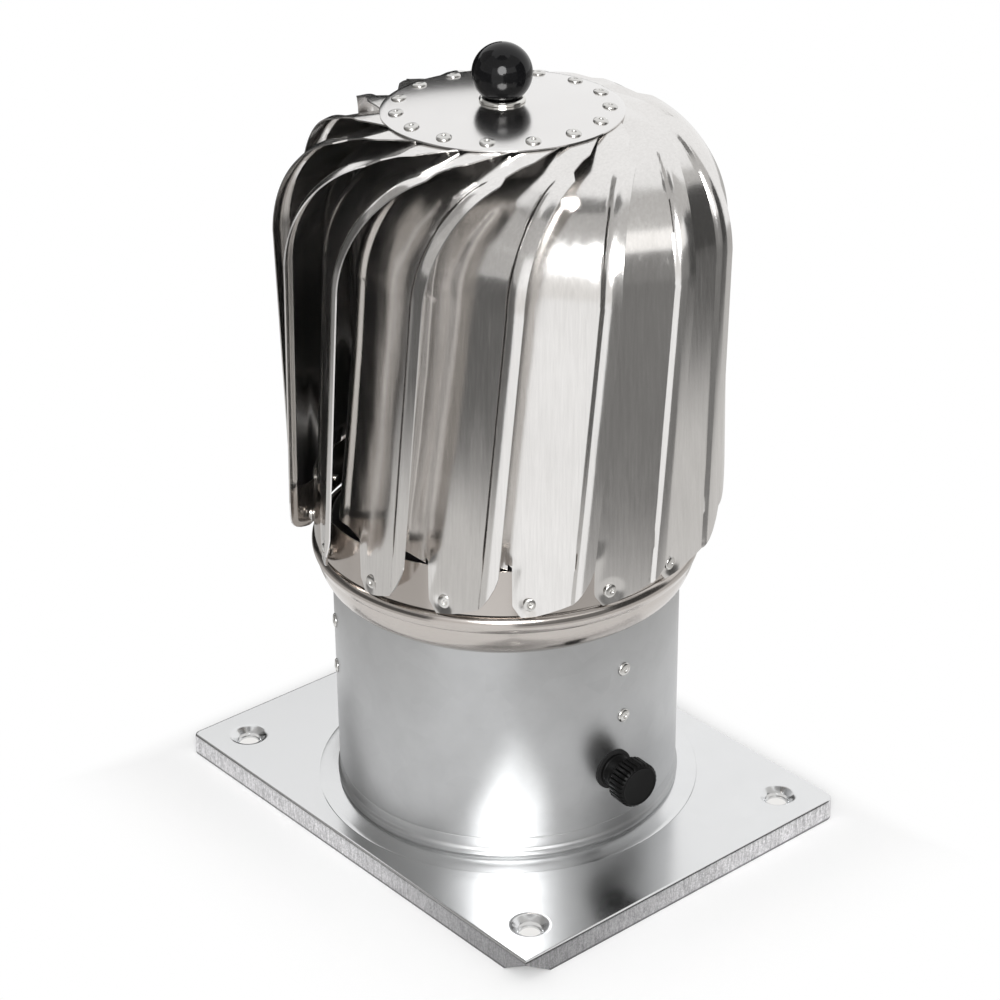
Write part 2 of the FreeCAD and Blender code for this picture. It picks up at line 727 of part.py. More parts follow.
def across(points, z):
    """Closed thin wire across the leg; it crosses the leg's middle surface at height z."""
    back = (VANE_SHOULDER_Z - z) * math.tan(LEAN)
    out = V(math.cos(LEAN), 0, math.sin(LEAN))
    base = V(SHOULDER_U + back, 0, z)
    outside = [base + out * h + V(0, w, 0) for w, h in points]
    inside = [base + out * (h - VANE_T) + V(0, w, 0) for w, h in reversed(points)]
    return Part.makePolygon(outside + inside + outside[:1])


def loft(wires):
    return Part.makeLoft(wires, True, True)


def vane_strip():
    """Leg above the slot, swept down from the shoulder, and the shoulder itself."""
    inner = VANE_INNER_W_HIGH
    profile = Part.Face(across(skin(inner, inner + VANE_WIDTH), VANE_SHOULDER_Z))
    drop = VANE_SHOULDER_Z - VANE_SLOT_TOP_Z
    leg = profile.extrude(V(drop * math.tan(LEAN), -drop * VANE_DRIFT, -drop))
    turn = 90 - VANE_TOP_SLOPE - VANE_LEAN
    shoulder = profile.revolve(V(ARC_U, 0, ARC_Z), V(0, -1, 0), turn)
    return leg.fuse(shoulder)


def slope_z(u):
    """Height of the slope's outside, above the end of the shoulder."""
    return SLOPE_Z + (SLOPE_U - u) * math.tan(TOP_SLOPE)


def across_block(corners):
    """Prism over the strip's whole width, through (u, z) corners."""
    points = [V(u, VANE_INNER_W_HIGH, z) for u, z in corners + corners[:1]]
    return Part.Face(Part.makePolygon(points)).extrude(V(0, VANE_WIDTH, 0))


def vane_tongue():
    """Slope up to the disc, and the landing, which follows the crown's underside."""
    thin_u = VANE_T * math.sin(TOP_SLOPE)
    thin_z = VANE_T * math.cos(TOP_SLOPE)
    end_z = slope_z(VANE_END_U)
    slope = across_block([
        (SLOPE_U, SLOPE_Z),
        (VANE_END_U, end_z),
        (VANE_END_U - thin_u, end_z - thin_z),
        (SLOPE_U - thin_u, SLOPE_Z - thin_z),
    ])
    under_slope = across_block([
        (SLOPE_U, SLOPE_Z),
        (VANE_END_U, end_z),
        (VANE_END_U, SLOPE_Z - thin_z),
        (SLOPE_U, SLOPE_Z - thin_z),
    ])
    crown = crown_ball(TONGUE_CROWN_R)
    landing = under_slope.common(crown).cut(crown_ball(TONGUE_CROWN_R - VANE_T))
    return slope.common(crown).fuse(landing)


def outline_cut(corners):
    """Upright prism over the tongue and shoulder, through (u, w) corners."""
    points = [V(u, w, ARC_Z) for u, w in corners + corners[:1]]
    return Part.Face(Part.makePolygon(points)).extrude(V(0, 0, KNOB_Z - ARC_Z))


def tongue_outline_cuts():
    rivet_w = DISC_RIVET_W
    edge = VANE_INNER_W_HIGH + VANE_WIDTH
    inner = rivet_w - TONGUE_INNER
    inside = [
        (TONGUE_TAPER_START_U, VANE_INNER_W_HIGH),
        (TONGUE_TAPER_END_U, inner),
        (VANE_END_U - 1, inner),
        (VANE_END_U - 1, 0),
        (TONGUE_TAPER_START_U, 0),
    ]
    outside = [
        (TONGUE_KINK_START_U, edge + 1),
        (TONGUE_KINK_START_U, edge),
        (TONGUE_KINK_U, rivet_w + TONGUE_KINK_OUTER),
        (TONGUE_WAIST_U, rivet_w + TONGUE_WAIST_OUTER),
        (VANE_END_U - 1, rivet_w + TONGUE_TIP_OUTER),
        (VANE_END_U - 1, edge + 1),
    ]
    return [outline_cut(inside), outline_cut(outside)]


def vane_flange():
    """The inner bead's lower end, which hangs inside the collar."""
    edge = TAB_INNER_W - VANE_SLOT_WIDTH
    wires = []
    for z in (VANE_FLANGE_Z, VANE_SLOT_TOP_Z):
        inner = vane_inner_w(z)
        wires.append(across(skin(inner, 2 * edge)[:3] + [(edge, 0.0)], z))
    return loft(wires)


def tab_skin(z, on_collar):
    """Outside line of the tab: on the leg, or bent onto the collar near its rivet."""
    base = SHOULDER_U + (VANE_SHOULDER_Z - z) * math.tan(LEAN)
    points = []
    for w in (TAB_INNER_W, (TAB_INNER_W + TAB_BEND_W) / 2, TAB_BEND_W):
        reach = math.sqrt((TAB_R + VANE_T) ** 2 - w ** 2)
        points.append((w, reach - base if on_collar else 0.0))
    return points + skin(0, vane_inner_w(z) + VANE_WIDTH)[3:]


def vane_tab():
    return loft([
        across(tab_skin(VANE_BOTTOM_Z, True), VANE_BOTTOM_Z),
        across(tab_skin(TAB_TOP_Z, True), TAB_TOP_Z),
        across(tab_skin(VANE_SLOT_TOP_Z, False), VANE_SLOT_TOP_Z),
    ])


def tab_corner_cut():
    """Slants the tab's free lower corner."""
    near = VANE_LEG_U - 3 * TAB_CORNER_WIDTH
    edge = vane_inner_w(VANE_BOTTOM_Z) + VANE_WIDTH
    z = VANE_BOTTOM_Z
    corner = [(edge - TAB_CORNER_WIDTH, z), (edge, z + TAB_CORNER_HEIGHT)]
    rise = TAB_CORNER_HEIGHT / TAB_CORNER_WIDTH
    low = V(near, corner[0][0] - 1 / rise, z - 1)
    high = V(near, corner[1][0] + 2 / rise, corner[1][1] + 2)
    outline = [low, high, V(near, high.y, z - 1), low]
    return Part.Face(Part.makePolygon(outline)).extrude(V(6 * TAB_CORNER_WIDTH, 0, 0))


def tab_chamfer_cut():
    near = VANE_LEG_U - 3 * TAB_CORNER_WIDTH
    w = TAB_INNER_W - 1
    z = VANE_BOTTOM_Z - 1
    reach = TAB_CHAMFER + 2
    outline = [V(near, w, z), V(near, w + reach, z), V(near, w, z + reach), V(near, w, z)]
    return Part.Face(Part.makePolygon(outline)).extrude(V(6 * TAB_CORNER_WIDTH, 0, 0))


def vane():
    """One vane in its own frame: u along X, w along Y."""
    made = vane_strip().fuse([vane_tongue(), vane_flange(), vane_tab()])
    made = made.cut([tab_corner_cut(), tab_chamfer_cut()] + tongue_outline_cuts())
    reach = 10 * VANE_T
    drill = Part.makeCylinder(RIVET_HOLE_R, 2 * reach, V(0, 0, -reach))
    made = made.cut(outwards(drill, VANE_SKEW, TAB_R, COLLAR_RIVET_Z))
    made = made.cut(on_crown(drill, DISC_RIVET_LEAD + VANE_SKEW, TONGUE_CROWN_R))
    return made.removeSplitter()


def vane_rivets():
    """Disc rivets, each through the disc and a tongue, and collar rivets."""
    made = []
    disc_rivet = rivet(DISC_T + VANE_T + 3 * SEAT_GAP)
    collar_rivet = rivet(COLLAR_T + TAB_GAP + VANE_T + 4 * SEAT_GAP)
    for angle in vane_angles():
        made.append(on_crown(disc_rivet, angle + DISC_RIVET_LEAD, CROWN_R + SEAT_GAP))
        seat = TAB_R + VANE_T + 2 * SEAT_GAP
        made.append(outwards(collar_rivet, angle, seat, COLLAR_RIVET_Z))
    return made


# Cable gland, built along +Z from the neck's outside


def gland_axis_shape(shape):
    return outwards(shape, GLAND_ANGLE, NECK_R, GLAND_Z)


def gland_body():
    top = GLAND_SOLE + GLAND_BODY_LENGTH
    sleeve_top = top + GLAND_SLEEVE_LENGTH
    inside = -(NECK_T + GLAND_WASHER_T + LOCKNUT_T + GLAND_THREAD_PAST_NUT)
    body = cylinder(GLAND_FLANGE_D / 2, GLAND_SOLE, GLAND_SOLE + GLAND_FLANGE_T)
    body = body.fuse(cylinder(GLAND_BODY_D / 2, GLAND_SOLE, top))
    body = body.fuse(cylinder(GLAND_THREAD_D / 2, inside, top))
    body = body.fuse(cylinder(GLAND_SLEEVE_D / 2, GLAND_SOLE, sleeve_top))
    return gland_axis_shape(body.cut(cylinder(GLAND_BORE_D / 2, inside - 1, sleeve_top + 1)))


def gland_nut():
    low = GLAND_SOLE + GLAND_BODY_LENGTH + GLAND_FIT
    top = low + GLAND_NUT_LENGTH
    nut = cylinder(GLAND_NUT_D / 2, low, top)
    for k in range(GLAND_RIB_COUNT):
        p = polar(GLAND_NUT_D / 2 + GLAND_RIB_D / 4, 360 / GLAND_RIB_COUNT * k)
        nut = nut.cut(cylinder(GLAND_RIB_D / 2, low - 1, top - GLAND_FACE_T / 2, (p.x, p.y)))
    hollow = GLAND_SLEEVE_D / 2 + GLAND_FIT
    return gland_axis_shape(nut.cut(cylinder(hollow, low - 1, top - GLAND_FACE_T)))


def gland_blank():
    """Blanking plug in the gland's bore, in place of a cable."""
    low = GLAND_SOLE + GLAND_BODY_LENGTH
    top = low + GLAND_BLANK_LENGTH
    return gland_axis_shape(cylinder(GLAND_BORE_D / 2 - SEAT_GAP, low, top))


def gland_seal():
    """Sealing washer, saddle-shaped to sit on the round neck."""
    outer = GLAND_FLANGE_D / 2
    dip = NECK_R - math.sqrt(NECK_R ** 2 - outer ** 2)
    ring = tube(GLAND_THREAD_D / 2 + SEAT_GAP, outer, -dip, GLAND_SOLE - SEAT_GAP)
    return gland_axis_shape(ring).cut(cylinder(NECK_R + SEAT_GAP, 0, NECK_TOP_Z))


def gland_locknut():
    top = -(NECK_T + GLAND_WASHER_T)
    nut = hexagon(LOCKNUT_ACROSS, top - LOCKNUT_T, LOCKNUT_T)
    return gland_axis_shape(nut.cut(cylinder(GLAND_THREAD_D / 2 + SEAT_GAP, top - LOCKNUT_T - 1, top + 1)))


def build():
    pieces = {
        "base_plate": base_plate(),
        "neck_pipe": neck_pipe(),
        "drip_ring": drip_ring(),
        "spider": spider(),
        "spider_rivets": spider_rivets(),
        "bearing_housing": bearing_housing(),
        "bearing_outer_rings": [bearing_outer(z) for z in bearing_levels()],
        "bearing_inner_rings": [bearing_inner(z) for z in bearing_levels()],
        "bearing_spacer": bearing_spacer(),
        "housing_circlip": housing_circlip(),
        "shaft_circlip": shaft_circlip(),
        "housing_screws": housing_screws(),
        "housing_nuts": housing_nuts(),
        "motor_housing": motor_housing(),
        "motor_cover": motor_cover(),
        "stator_ring": stator_ring(),
        "magnet_rotor": magnet_rotor(),
        "shaft": shaft(),
        "hub_flange": hub_flange(),
        "top_disc": top_disc(),
        "knob_washer": knob_washer(),
        "ball_knob": ball_knob(),
        "rotor_collar": rotor_collar(),
        "vane_rivets": vane_rivets(),
        "gland_body": gland_body(),
        "gland_nut": gland_nut(),
        "gland_blank": gland_blank(),
        "gland_seal": gland_seal(),
        "gland_locknut": gland_locknut(),
    }
    master = vane()
    for number, angle in enumerate(vane_angles(), start=1):
        pieces[f"vane_{number:02d}"] = turned(master, angle - VANE_SKEW)
    return pieces


def main():
    os.makedirs("parts", exist_ok=True)
    for name, piece in build().items():
        shape = Part.makeCompound(piece) if isinstance(piece, list) else piece
        shape.exportStep(f"parts/{name}.step")
        kinds = len(shape.Solids)
        print(f"{name}: {kinds} solid(s), volume {shape.Volume:.0f}, valid {shape.isValid()}")


main()
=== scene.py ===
import math

import bmesh
import bpy
import numpy as np
from mathutils import Matrix, Vector


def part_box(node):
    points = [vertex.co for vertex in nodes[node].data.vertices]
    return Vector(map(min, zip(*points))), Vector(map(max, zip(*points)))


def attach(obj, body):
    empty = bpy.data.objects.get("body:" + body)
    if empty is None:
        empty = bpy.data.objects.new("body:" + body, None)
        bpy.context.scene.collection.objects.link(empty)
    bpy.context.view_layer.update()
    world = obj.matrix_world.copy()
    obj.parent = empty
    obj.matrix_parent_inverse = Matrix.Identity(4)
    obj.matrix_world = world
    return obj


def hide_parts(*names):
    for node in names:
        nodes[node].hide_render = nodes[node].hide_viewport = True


# Roof turbine ventilator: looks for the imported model. Sizes are in millimetres and are scaled
# to metres as each mesh is made.

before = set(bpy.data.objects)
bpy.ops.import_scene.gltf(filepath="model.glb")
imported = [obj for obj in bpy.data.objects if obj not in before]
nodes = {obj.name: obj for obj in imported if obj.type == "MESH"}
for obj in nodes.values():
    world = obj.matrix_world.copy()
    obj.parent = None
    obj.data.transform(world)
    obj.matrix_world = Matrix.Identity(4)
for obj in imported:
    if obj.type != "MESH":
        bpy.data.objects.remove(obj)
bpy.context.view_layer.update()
MM = 0.001

# Camera

CAMERA_AT = (-674.87, -785.08, 677.56)
CAMERA_RIGHT = (0.7565, -0.6540, -0.0076)
CAMERA_UP = (0.3053, 0.3427, 0.8884)
CAMERA_LENS = 98.16
CAMERA_SHIFT = (-0.0029, 0.0015)


def make_camera():
    data = bpy.data.cameras.new("camera")
    data.lens = CAMERA_LENS
    data.sensor_width = 36
    data.shift_x, data.shift_y = CAMERA_SHIFT
    data.clip_start, data.clip_end = 0.05, 50
    cam = bpy.data.objects.new("camera", data)
    right = Vector(CAMERA_RIGHT).normalized()
    up = Vector(CAMERA_UP)
    up = (up - right * up.dot(right)).normalized()
    back = right.cross(up)
    turn = Matrix((right, up, back)).transposed().to_4x4()
    cam.matrix_world = Matrix.Translation(Vector(CAMERA_AT) * MM) @ turn
    bpy.context.scene.collection.objects.link(cam)
    bpy.context.scene.camera = cam


make_camera()

# Materials


class Value:
    """A node's socket that can be used in arithmetic."""

    def __init__(self, tree, socket):
        self.tree = tree
        self.socket = socket

    def _math(self, kind, other):
        made = self.tree.node("ShaderNodeMath", {0: self, 1: other}, operation=kind)
        return Value(self.tree, made.outputs[0])

    def __add__(self, other):
        return self._math("ADD", other)

    def __sub__(self, other):
        return self._math("SUBTRACT", other)

    def __rsub__(self, other):
        return self * -1.0 + other

    def __mul__(self, other):
        return self._math("MULTIPLY", other)

    __radd__ = __add__
    __rmul__ = __mul__

    def __truediv__(self, other):
        return self._math("DIVIDE", other)

    def __pow__(self, other):
        return self._math("POWER", other)

    def angle_over(self, other):
        return self._math("ARCTAN2", other)

    def at_least(self, other):
        return self._math("MAXIMUM", other)

    def clamp(self):
        made = self._math("ADD", 0.0)
        made.socket.node.use_clamp = True
        return made

    def ramp(self, low, high, to_low=0.0, to_high=1.0):
        """Goes softly from to_low, where the value is low, to to_high, where it is high."""
        sockets = {
            "Value": self,
            "From Min": low,
            "From Max": high,
            "To Min": to_low,
            "To Max": to_high,
        }
        made = self.tree.node("ShaderNodeMapRange", sockets, interpolation_type="SMOOTHSTEP")
        return Value(self.tree, made.outputs["Result"])


class Tree:
    """A node tree, with one method that adds a node, its settings and its sockets."""

    def __init__(self, node_tree):
        self.nodes = node_tree.nodes
        self.links = node_tree.links

    def put(self, target, item):
        """Links a socket or a Value to the target, or sets the target's own value."""
        if isinstance(item, Value):
            item = item.socket
        if isinstance(item, bpy.types.NodeSocket):
            self.links.new(item, target)
        else:
            target.default_value = item

    def node(self, kind, sockets=None, **settings):
        made = self.nodes.new(kind)
        for key, item in settings.items():
            setattr(made, key, item)
        for key, item in (sockets or {}).items():
            self.put(made.inputs[key], item)
        return made

    def looked_at(self):
        """1 where the camera sees a surface itself, mirrored or through glass, otherwise 0."""
        path = self.node("ShaderNodeLightPath").outputs
        seen = Value(self, path["Is Camera Ray"]).at_least(path["Is Glossy Ray"])
        return seen.at_least(path["Is Transmission Ray"])


class Shader(Tree):
    """A material with one Principled shader, and patterns laid out in millimetres."""

    def __init__(self, name, **constants):
        self.material = bpy.data.materials.new(name)
        self.material.use_nodes = True
        super().__init__(self.material.node_tree)
        self.main = self.nodes["Principled BSDF"]
        for key, item in constants.items():
            self.set(key.replace("_", " "), item)

    def set(self, name, item):
        self.put(self.main.inputs[name], item)

    def here(self):
        return self.node("ShaderNodeTexCoord").outputs["Object"]

    def place(self, scale, turn=(0, 0, 0)):
        """The point in millimetres, stretched by one number or by one for each axis."""
        each = (scale,) * 3 if isinstance(scale, float) else scale
        sockets = {"Vector": self.here(), "Scale": [k / MM for k in each], "Rotation": turn}
        return self.node("ShaderNodeMapping", sockets).outputs["Vector"]

    def xyz(self):
        """The point's coordinates in millimetres."""
        split = self.node("ShaderNodeSeparateXYZ", {0: self.here()})
        return [Value(self, split.outputs[k]) / MM for k in range(3)]

    def polar(self):
        """The point's angle about the Z axis, and its radius and height in millimetres."""
        x, y, z = self.xyz()
        return y.angle_over(x), (x * x + y * y) ** 0.5, z

    def noise_at(self, vector, detail, rough=0.5):
        sockets = {"Vector": vector, "Scale": 1.0, "Detail": detail, "Roughness": rough}
        return Value(self, self.node("ShaderNodeTexNoise", sockets).outputs["Fac"])

    def noise(self, scale, detail, rough=0.5, turn=(0, 0, 0)):
        return self.noise_at(self.place(scale, turn), detail, rough)

    def crystals(self, scale):
        """A grey for each crystal of the zinc."""
        sockets = {"Vector": self.place(scale), "Scale": 1.0}
        return Value(self, self.node("ShaderNodeTexVoronoi", sockets).outputs["Color"])

    def colours(self, fac, low, high):
        sockets = {"Factor": fac, "A": (*low, 1), "B": (*high, 1)}
        return self.node("ShaderNodeMix", sockets, data_type="RGBA").outputs["Result"]

    def bump(self, height, distance, strength=1.0, normal=None):
        """Bump from a height field; distance in millimetres."""
        sockets = {"Height": height, "Distance": distance * MM, "Strength": strength}
        if normal is not None:
            sockets["Normal"] = normal
        return self.node("ShaderNodeBump", sockets).outputs["Normal"]


def stainless_vane():
    m = Shader("stainless_vane", Metallic=1.0)
    grain = m.noise((2.2, 2.2, 0.16), 3.0)
    smear = m.noise((0.07, 0.07, 0.02), 3.0)
    stain = m.noise(0.03, 4.0)
    scratch = m.noise((0.5, 0.5, 0.03), 2.0, turn=(0.12, 0.2, 0.0)).ramp(0.66, 0.74)
    brush = m.noise((0.9, 0.9, 0.012), 4.0, 0.7)
    tone = stain * 0.4 + brush * 0.6
    m.set("Base Color", m.colours(tone, (0.64, 0.625, 0.61), (0.94, 0.925, 0.91)))
    wear_and_painted_shade = grain * 0.10 + smear * 0.12 + scratch * 0.06 + brush * 0.08
    m.set("Roughness", (wear_and_painted_shade + 0.02).clamp())
    wave = m.noise((0.035, 0.035, 0.008), 2.0)
    normal = m.bump(wave, 1.0)
    m.set("Normal", m.bump(grain, 0.012, 0.6, normal))
    return m.material


def stainless_turned(name, grain_on_height, low, high):
    """Steel with fine turning lines, one above another on a band, one inside another on a disc."""
    m = Shader(name, Metallic=1.0)
    angle, radius, height = m.polar()
    across = height if grain_on_height else radius
    vector = m.node("ShaderNodeCombineXYZ", {0: angle * 6.0, 1: across * 5.0, 2: 0.0})
    rings = m.noise_at(vector.outputs[0], 3.0)
    stain = m.noise(0.03, 3.0)
    m.set("Base Color", m.colours(stain, low, high))
    m.set("Roughness", (rings * 0.14 + 0.10).clamp())
    m.set("Normal", m.bump(rings, 0.004, 0.5))
    return m.material


def galvanised(name, shine, low, high):
    m = Shader(name, Metallic=1.0)
    soft = m.noise(0.07, 3.0, 0.6)
    cloud = m.noise(0.012, 5.0, 0.6)
    crystals = m.crystals(0.085)
    spangle = crystals * 0.12 + soft * 0.38 + cloud * 0.5
    fine = m.noise(0.5, 3.0, 0.7)
    m.set("Base Color", m.colours(spangle, low, high))
    m.set("Roughness", (spangle * 0.16 + fine * 0.07 + shine).clamp())
    m.set("Normal", m.bump(fine, 0.006, 0.5, m.bump(cloud, 0.06, 0.5)))
    return m.material


def lip_steel():
    m = Shader("lip_steel", Metallic=1.0)
    streak = m.noise((0.9, 0.9, 0.12), 4.0, 0.8).ramp(0.3, 0.7)
    speck = m.noise(1.6, 2.0).ramp(0.45, 0.6)
    cloud = m.noise(0.05, 3.0)
    x, y, height = m.xyz()
    # The lips are darker towards the front corner, which is a painted dark reflection. They are
    # darkest along their cut edge: the edge's own dark plus a painted contact shadow
    wear_and_painted_shade = (-1.0 * (x + y)).ramp(60.0, 205.0, 1.0, 0.36)
    cut_edge_and_contact_shade = height.ramp(0.5, 1.3, 0.25, 1.0)
    tone = (streak * 0.4 + speck * 0.25 + 0.35) * wear_and_painted_shade * cut_edge_and_contact_shade
    m.set("Base Color", m.colours(tone, (0.08, 0.08, 0.082), (0.97, 0.96, 0.975)))
    m.set("Roughness", (cloud * 0.15 + streak * 0.15 + 0.25).clamp())
    m.set("Normal", m.bump(streak, 0.03, 0.5))
    return m.material


def plain_metal(name, low, high, rough, grain_size=0.6):
    m = Shader(name, Metallic=1.0)
    grain = m.noise(grain_size, 3.0)
    cloud = m.noise(0.06, 3.0)
    m.set("Base Color", m.colours(cloud, low, high))
    m.set("Roughness", (grain * 0.12 + rough).clamp())
    m.set("Normal", m.bump(grain, 0.01, 0.5))
    return m.material


def black_gloss():
    m = Shader("black_gloss", Metallic=0.0, Specular_IOR_Level=0.28)
    cloud = m.noise(0.15, 3.0)
    speck = m.noise(2.5, 2.0)
    m.set("Base Color", m.colours(cloud, (0.003, 0.003, 0.0035), (0.006, 0.006, 0.0065)))
    m.set("Roughness", (cloud * 0.06 + speck.ramp(0.62, 0.75) * 0.1 + 0.06).clamp())
    m.set("Normal", m.bump(cloud, 0.02, 0.3))
    return m.material


def black_matt(name, low, high, rough):
    m = Shader(name, Specular_IOR_Level=0.1)
    grain = m.noise(3.0, 2.0)
    cloud = m.noise(0.2, 3.0)
    m.set("Base Color", m.colours(cloud, low, high))
    m.set("Roughness", (grain * 0.2 + rough).clamp())
    m.set("Normal", m.bump(grain, 0.03, 0.6))
    return m.material


MATERIALS = {
    "vane": stainless_vane(),
    "disc": stainless_turned("stainless_disc", False, (0.78, 0.765, 0.755), (0.84, 0.83, 0.82)),
    "ring": stainless_turned("stainless_ring", True, (0.50, 0.462, 0.432), (0.58, 0.545, 0.515)),
    "neck": galvanised("galvanised_neck", 0.28, (0.38, 0.385, 0.39), (0.62, 0.625, 0.63)),
    "plate": galvanised("galvanised_plate", 0.09, (0.72, 0.725, 0.73), (0.83, 0.835, 0.84)),
    "lip": lip_steel(),
    "rivet": plain_metal("zinc_rivet", (0.62, 0.61, 0.59), (0.74, 0.73, 0.71), 0.16),
    "washer": plain_metal("mirror_washer", (0.7, 0.69, 0.66), (0.78, 0.77, 0.74), 0.05),
    "bright": plain_metal("bright_steel", (0.6, 0.6, 0.6), (0.7, 0.7, 0.7), 0.12),
    "cast": plain_metal("cast_housing", (0.5, 0.5, 0.5), (0.62, 0.62, 0.61), 0.35, 1.4),
    "core": plain_metal("dark_core", (0.07, 0.065, 0.06), (0.13, 0.12, 0.11), 0.45, 1.0),
    "ball": black_gloss(),
    "gland": black_matt("black_plastic", (0.003, 0.003, 0.003), (0.005, 0.005, 0.005), 0.28),
    "cap": black_matt("gland_face", (0.003, 0.003, 0.003), (0.005, 0.005, 0.005), 0.32),
    "rubber": black_matt("seal_rubber", (0.014, 0.014, 0.014), (0.024, 0.024, 0.024), 0.6),
}

# Mesh helpers


def finish_mesh(name, points, faces, materials, body, stands_for=(), crease=35):
    """Makes a piece from points in millimetres, smooth but for creases over an angle."""
    data = bpy.data.meshes.new(name)
    data.from_pydata([tuple(p) for p in np.asarray(points, float) * MM], [], faces)
    return dress(name, data, materials, body, stands_for, crease)


def dress(name, data, materials, body, stands_for=(), crease=35):
    """A finished piece of the object: its materials, body and the CAD nodes it stands for."""
    data.validate()
    data.polygons.foreach_set("use_smooth", [True] * len(data.polygons))
    data.set_sharp_from_angle(angle=math.radians(crease))
    keys = [materials] if isinstance(materials, str) else materials
    data.materials.clear()
    for key in keys:
        data.materials.append(MATERIALS[key])
    obj = bpy.data.objects.new(name, data)
    bpy.context.scene.collection.objects.link(obj)
    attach(obj, body)
    if stands_for:
        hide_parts(*stands_for)
    return obj


def rounded(points, radius, steps):
    """A line of (a, b) points with each corner between its ends rounded."""
    made = [points[0]]
    for before, here, after in zip(points, points[1:], points[2:]):
        before, here, after = (np.array(p, float) for p in (before, here, after))
        back, on = before - here, after - here
        reach = min(radius, 0.45 * np.linalg.norm(back), 0.45 * np.linalg.norm(on))
        a = here + back / np.linalg.norm(back) * reach
        b = here + on / np.linalg.norm(on) * reach
        for k in range(steps + 1):
            t = k / steps
            made.append(tuple((1 - t) ** 2 * a + 2 * t * (1 - t) * here + t ** 2 * b))
    return made + [points[-1]]


def lathe(profile, count=256, centre=(0, 0)):
    """Points and faces of a profile of (radius, z) turned about Z; closed if its ends meet."""
    closed = np.allclose(profile[0], profile[-1])
    ring = profile[:-1] if closed else profile
    turns = np.linspace(0, 2 * math.pi, count, endpoint=False)
    x, y = centre
    points = [(x + r * math.cos(t), y + r * math.sin(t), z) for t in turns for r, z in ring]
    n = len(ring)
    faces = []
    for k in range(count):
        a, b = k * n, (k + 1) % count * n
        for j in range(n if closed else n - 1):
            i = (j + 1) % n
            faces.append((a + j, b + j, b + i, a + i))
    return points, faces


def welded(name, points, faces):
    """A mesh from points in millimetres, with its doubles merged and its faces outwards."""
    bm = bmesh.new()
    verts = [bm.verts.new(Vector(p) * MM) for p in points]
    for f in faces:
        try:
            bm.faces.new([verts[i] for i in f])
        except ValueError:
            continue
    bmesh.ops.remove_doubles(bm, verts=bm.verts, dist=1e-7)
    bmesh.ops.dissolve_degenerate(bm, edges=bm.edges, dist=1e-8)
    bmesh.ops.recalc_face_normals(bm, faces=bm.faces)
    data = bpy.data.meshes.new(name)
    bm.to_mesh(data)
    bm.free()
    return data


def lathe_piece(name, profile, material, body, stands_for=(), count=256, crease=35):
    data = welded(name, *lathe(profile, count))
    return dress(name, data, material, body, stands_for, crease)


def thicken(points, faces, depth):
    """A closed sheet: front points, back points = front + depth, and a rim."""
    count = len(points)
    every = np.vstack([points, points + depth])
    edges = {}
    for f in faces:
        for a, b in zip(f, f[1:] + f[:1]):
            if (b, a) in edges:
                del edges[(b, a)]
            else:
                edges[(a, b)] = True
    back = [tuple(i + count for i in reversed(f)) for f in faces]
    rim = [(b, a, a + count, b + count) for a, b in edges]
    return every, list(faces) + back + rim


def smooth_step(x, low, high):
    t = np.clip((x - low) / (high - low), 0, 1)
    return t * t * (3 - 2 * t)


# Vanes, each made in its own frame: u points outwards, w runs anticlockwise across the strip's
# width and z is up

VANE_COUNT = 15
PITCH = 360 / VANE_COUNT
VANE_FIRST = -4.0
VANE_SKEW = 17.0
VANE_T = 0.6
BOTTOM_Z = 134.9
LEG_U = 80.4
LEAN = math.radians(3.05)
SHOULDER_Z = 266.7
ARC_R = 50.5
SLOPE = math.radians(17.1)
END_U = 4.0
WIDTH = 43.6
INNER_W = 15.3
TAB_W = 17.0
SLOT_TOP_Z = 155.6
FLANGE_Z = 152.8
DRIFT = 9.0 / (SHOULDER_Z - 152.6)
TAB_CHAMFER = 4.0
TAB_FADE = (152.5, 162.0)
SLOT_GAP = 2.0
CUT_GAP = 0.4
COLLAR_R = 82.0
COLLAR_CLEAR = 0.25
BOTTOM_W = [17.0, 20.0, 26.0, 31.5, 37.0, 41.0, 43.4, 45.5, 47.4, 48.6]
BOTTOM_RISE = [-1.2, -2.2, -1.2, 0.9, 3.4, 5.6, 8.6, 12.2, 17.0, 22.0]
BOTTOM_BLEND = 44.0
FLANGE_LIFT = 3.5
FLANGE_LIFT_W = 14.0
FLANGE_BLEND = (153.0, 178.0)
LEG_SPLIT_W = 16.0
TOP_SPLIT = 0.25
INNER_KINK_U = [END_U, 31.0, 56.0, 74.0]
OUTER_KINK_U = [END_U, 6.0, 20.0, 33.0, 38.0]
TONGUE_INNER = 5.6
TONGUE_OUTER = (6.6, 7.3, 12.8, 13.8)
BEAD_W = 8.0
BEAD_H = 1.2
FLANGE_LINE = [(150.0, -2.6), (175.0, -0.4), (201.0, 2.8), (235.0, 6.2), (SHOULDER_Z, 8.4)]
RIVET_AT = (24.2, 138.6)
DENT_R = 6.2
DENT_DEPTH = 1.0
SHOULDER_U = LEG_U - (SHOULDER_Z - BOTTOM_Z) * math.tan(LEAN)
ARC_U = SHOULDER_U - ARC_R * math.cos(LEAN)
ARC_Z = SHOULDER_Z - ARC_R * math.sin(LEAN)
SLOPE_U = ARC_U + ARC_R * math.sin(SLOPE)
SLOPE_Z = ARC_Z + ARC_R * math.cos(SLOPE)

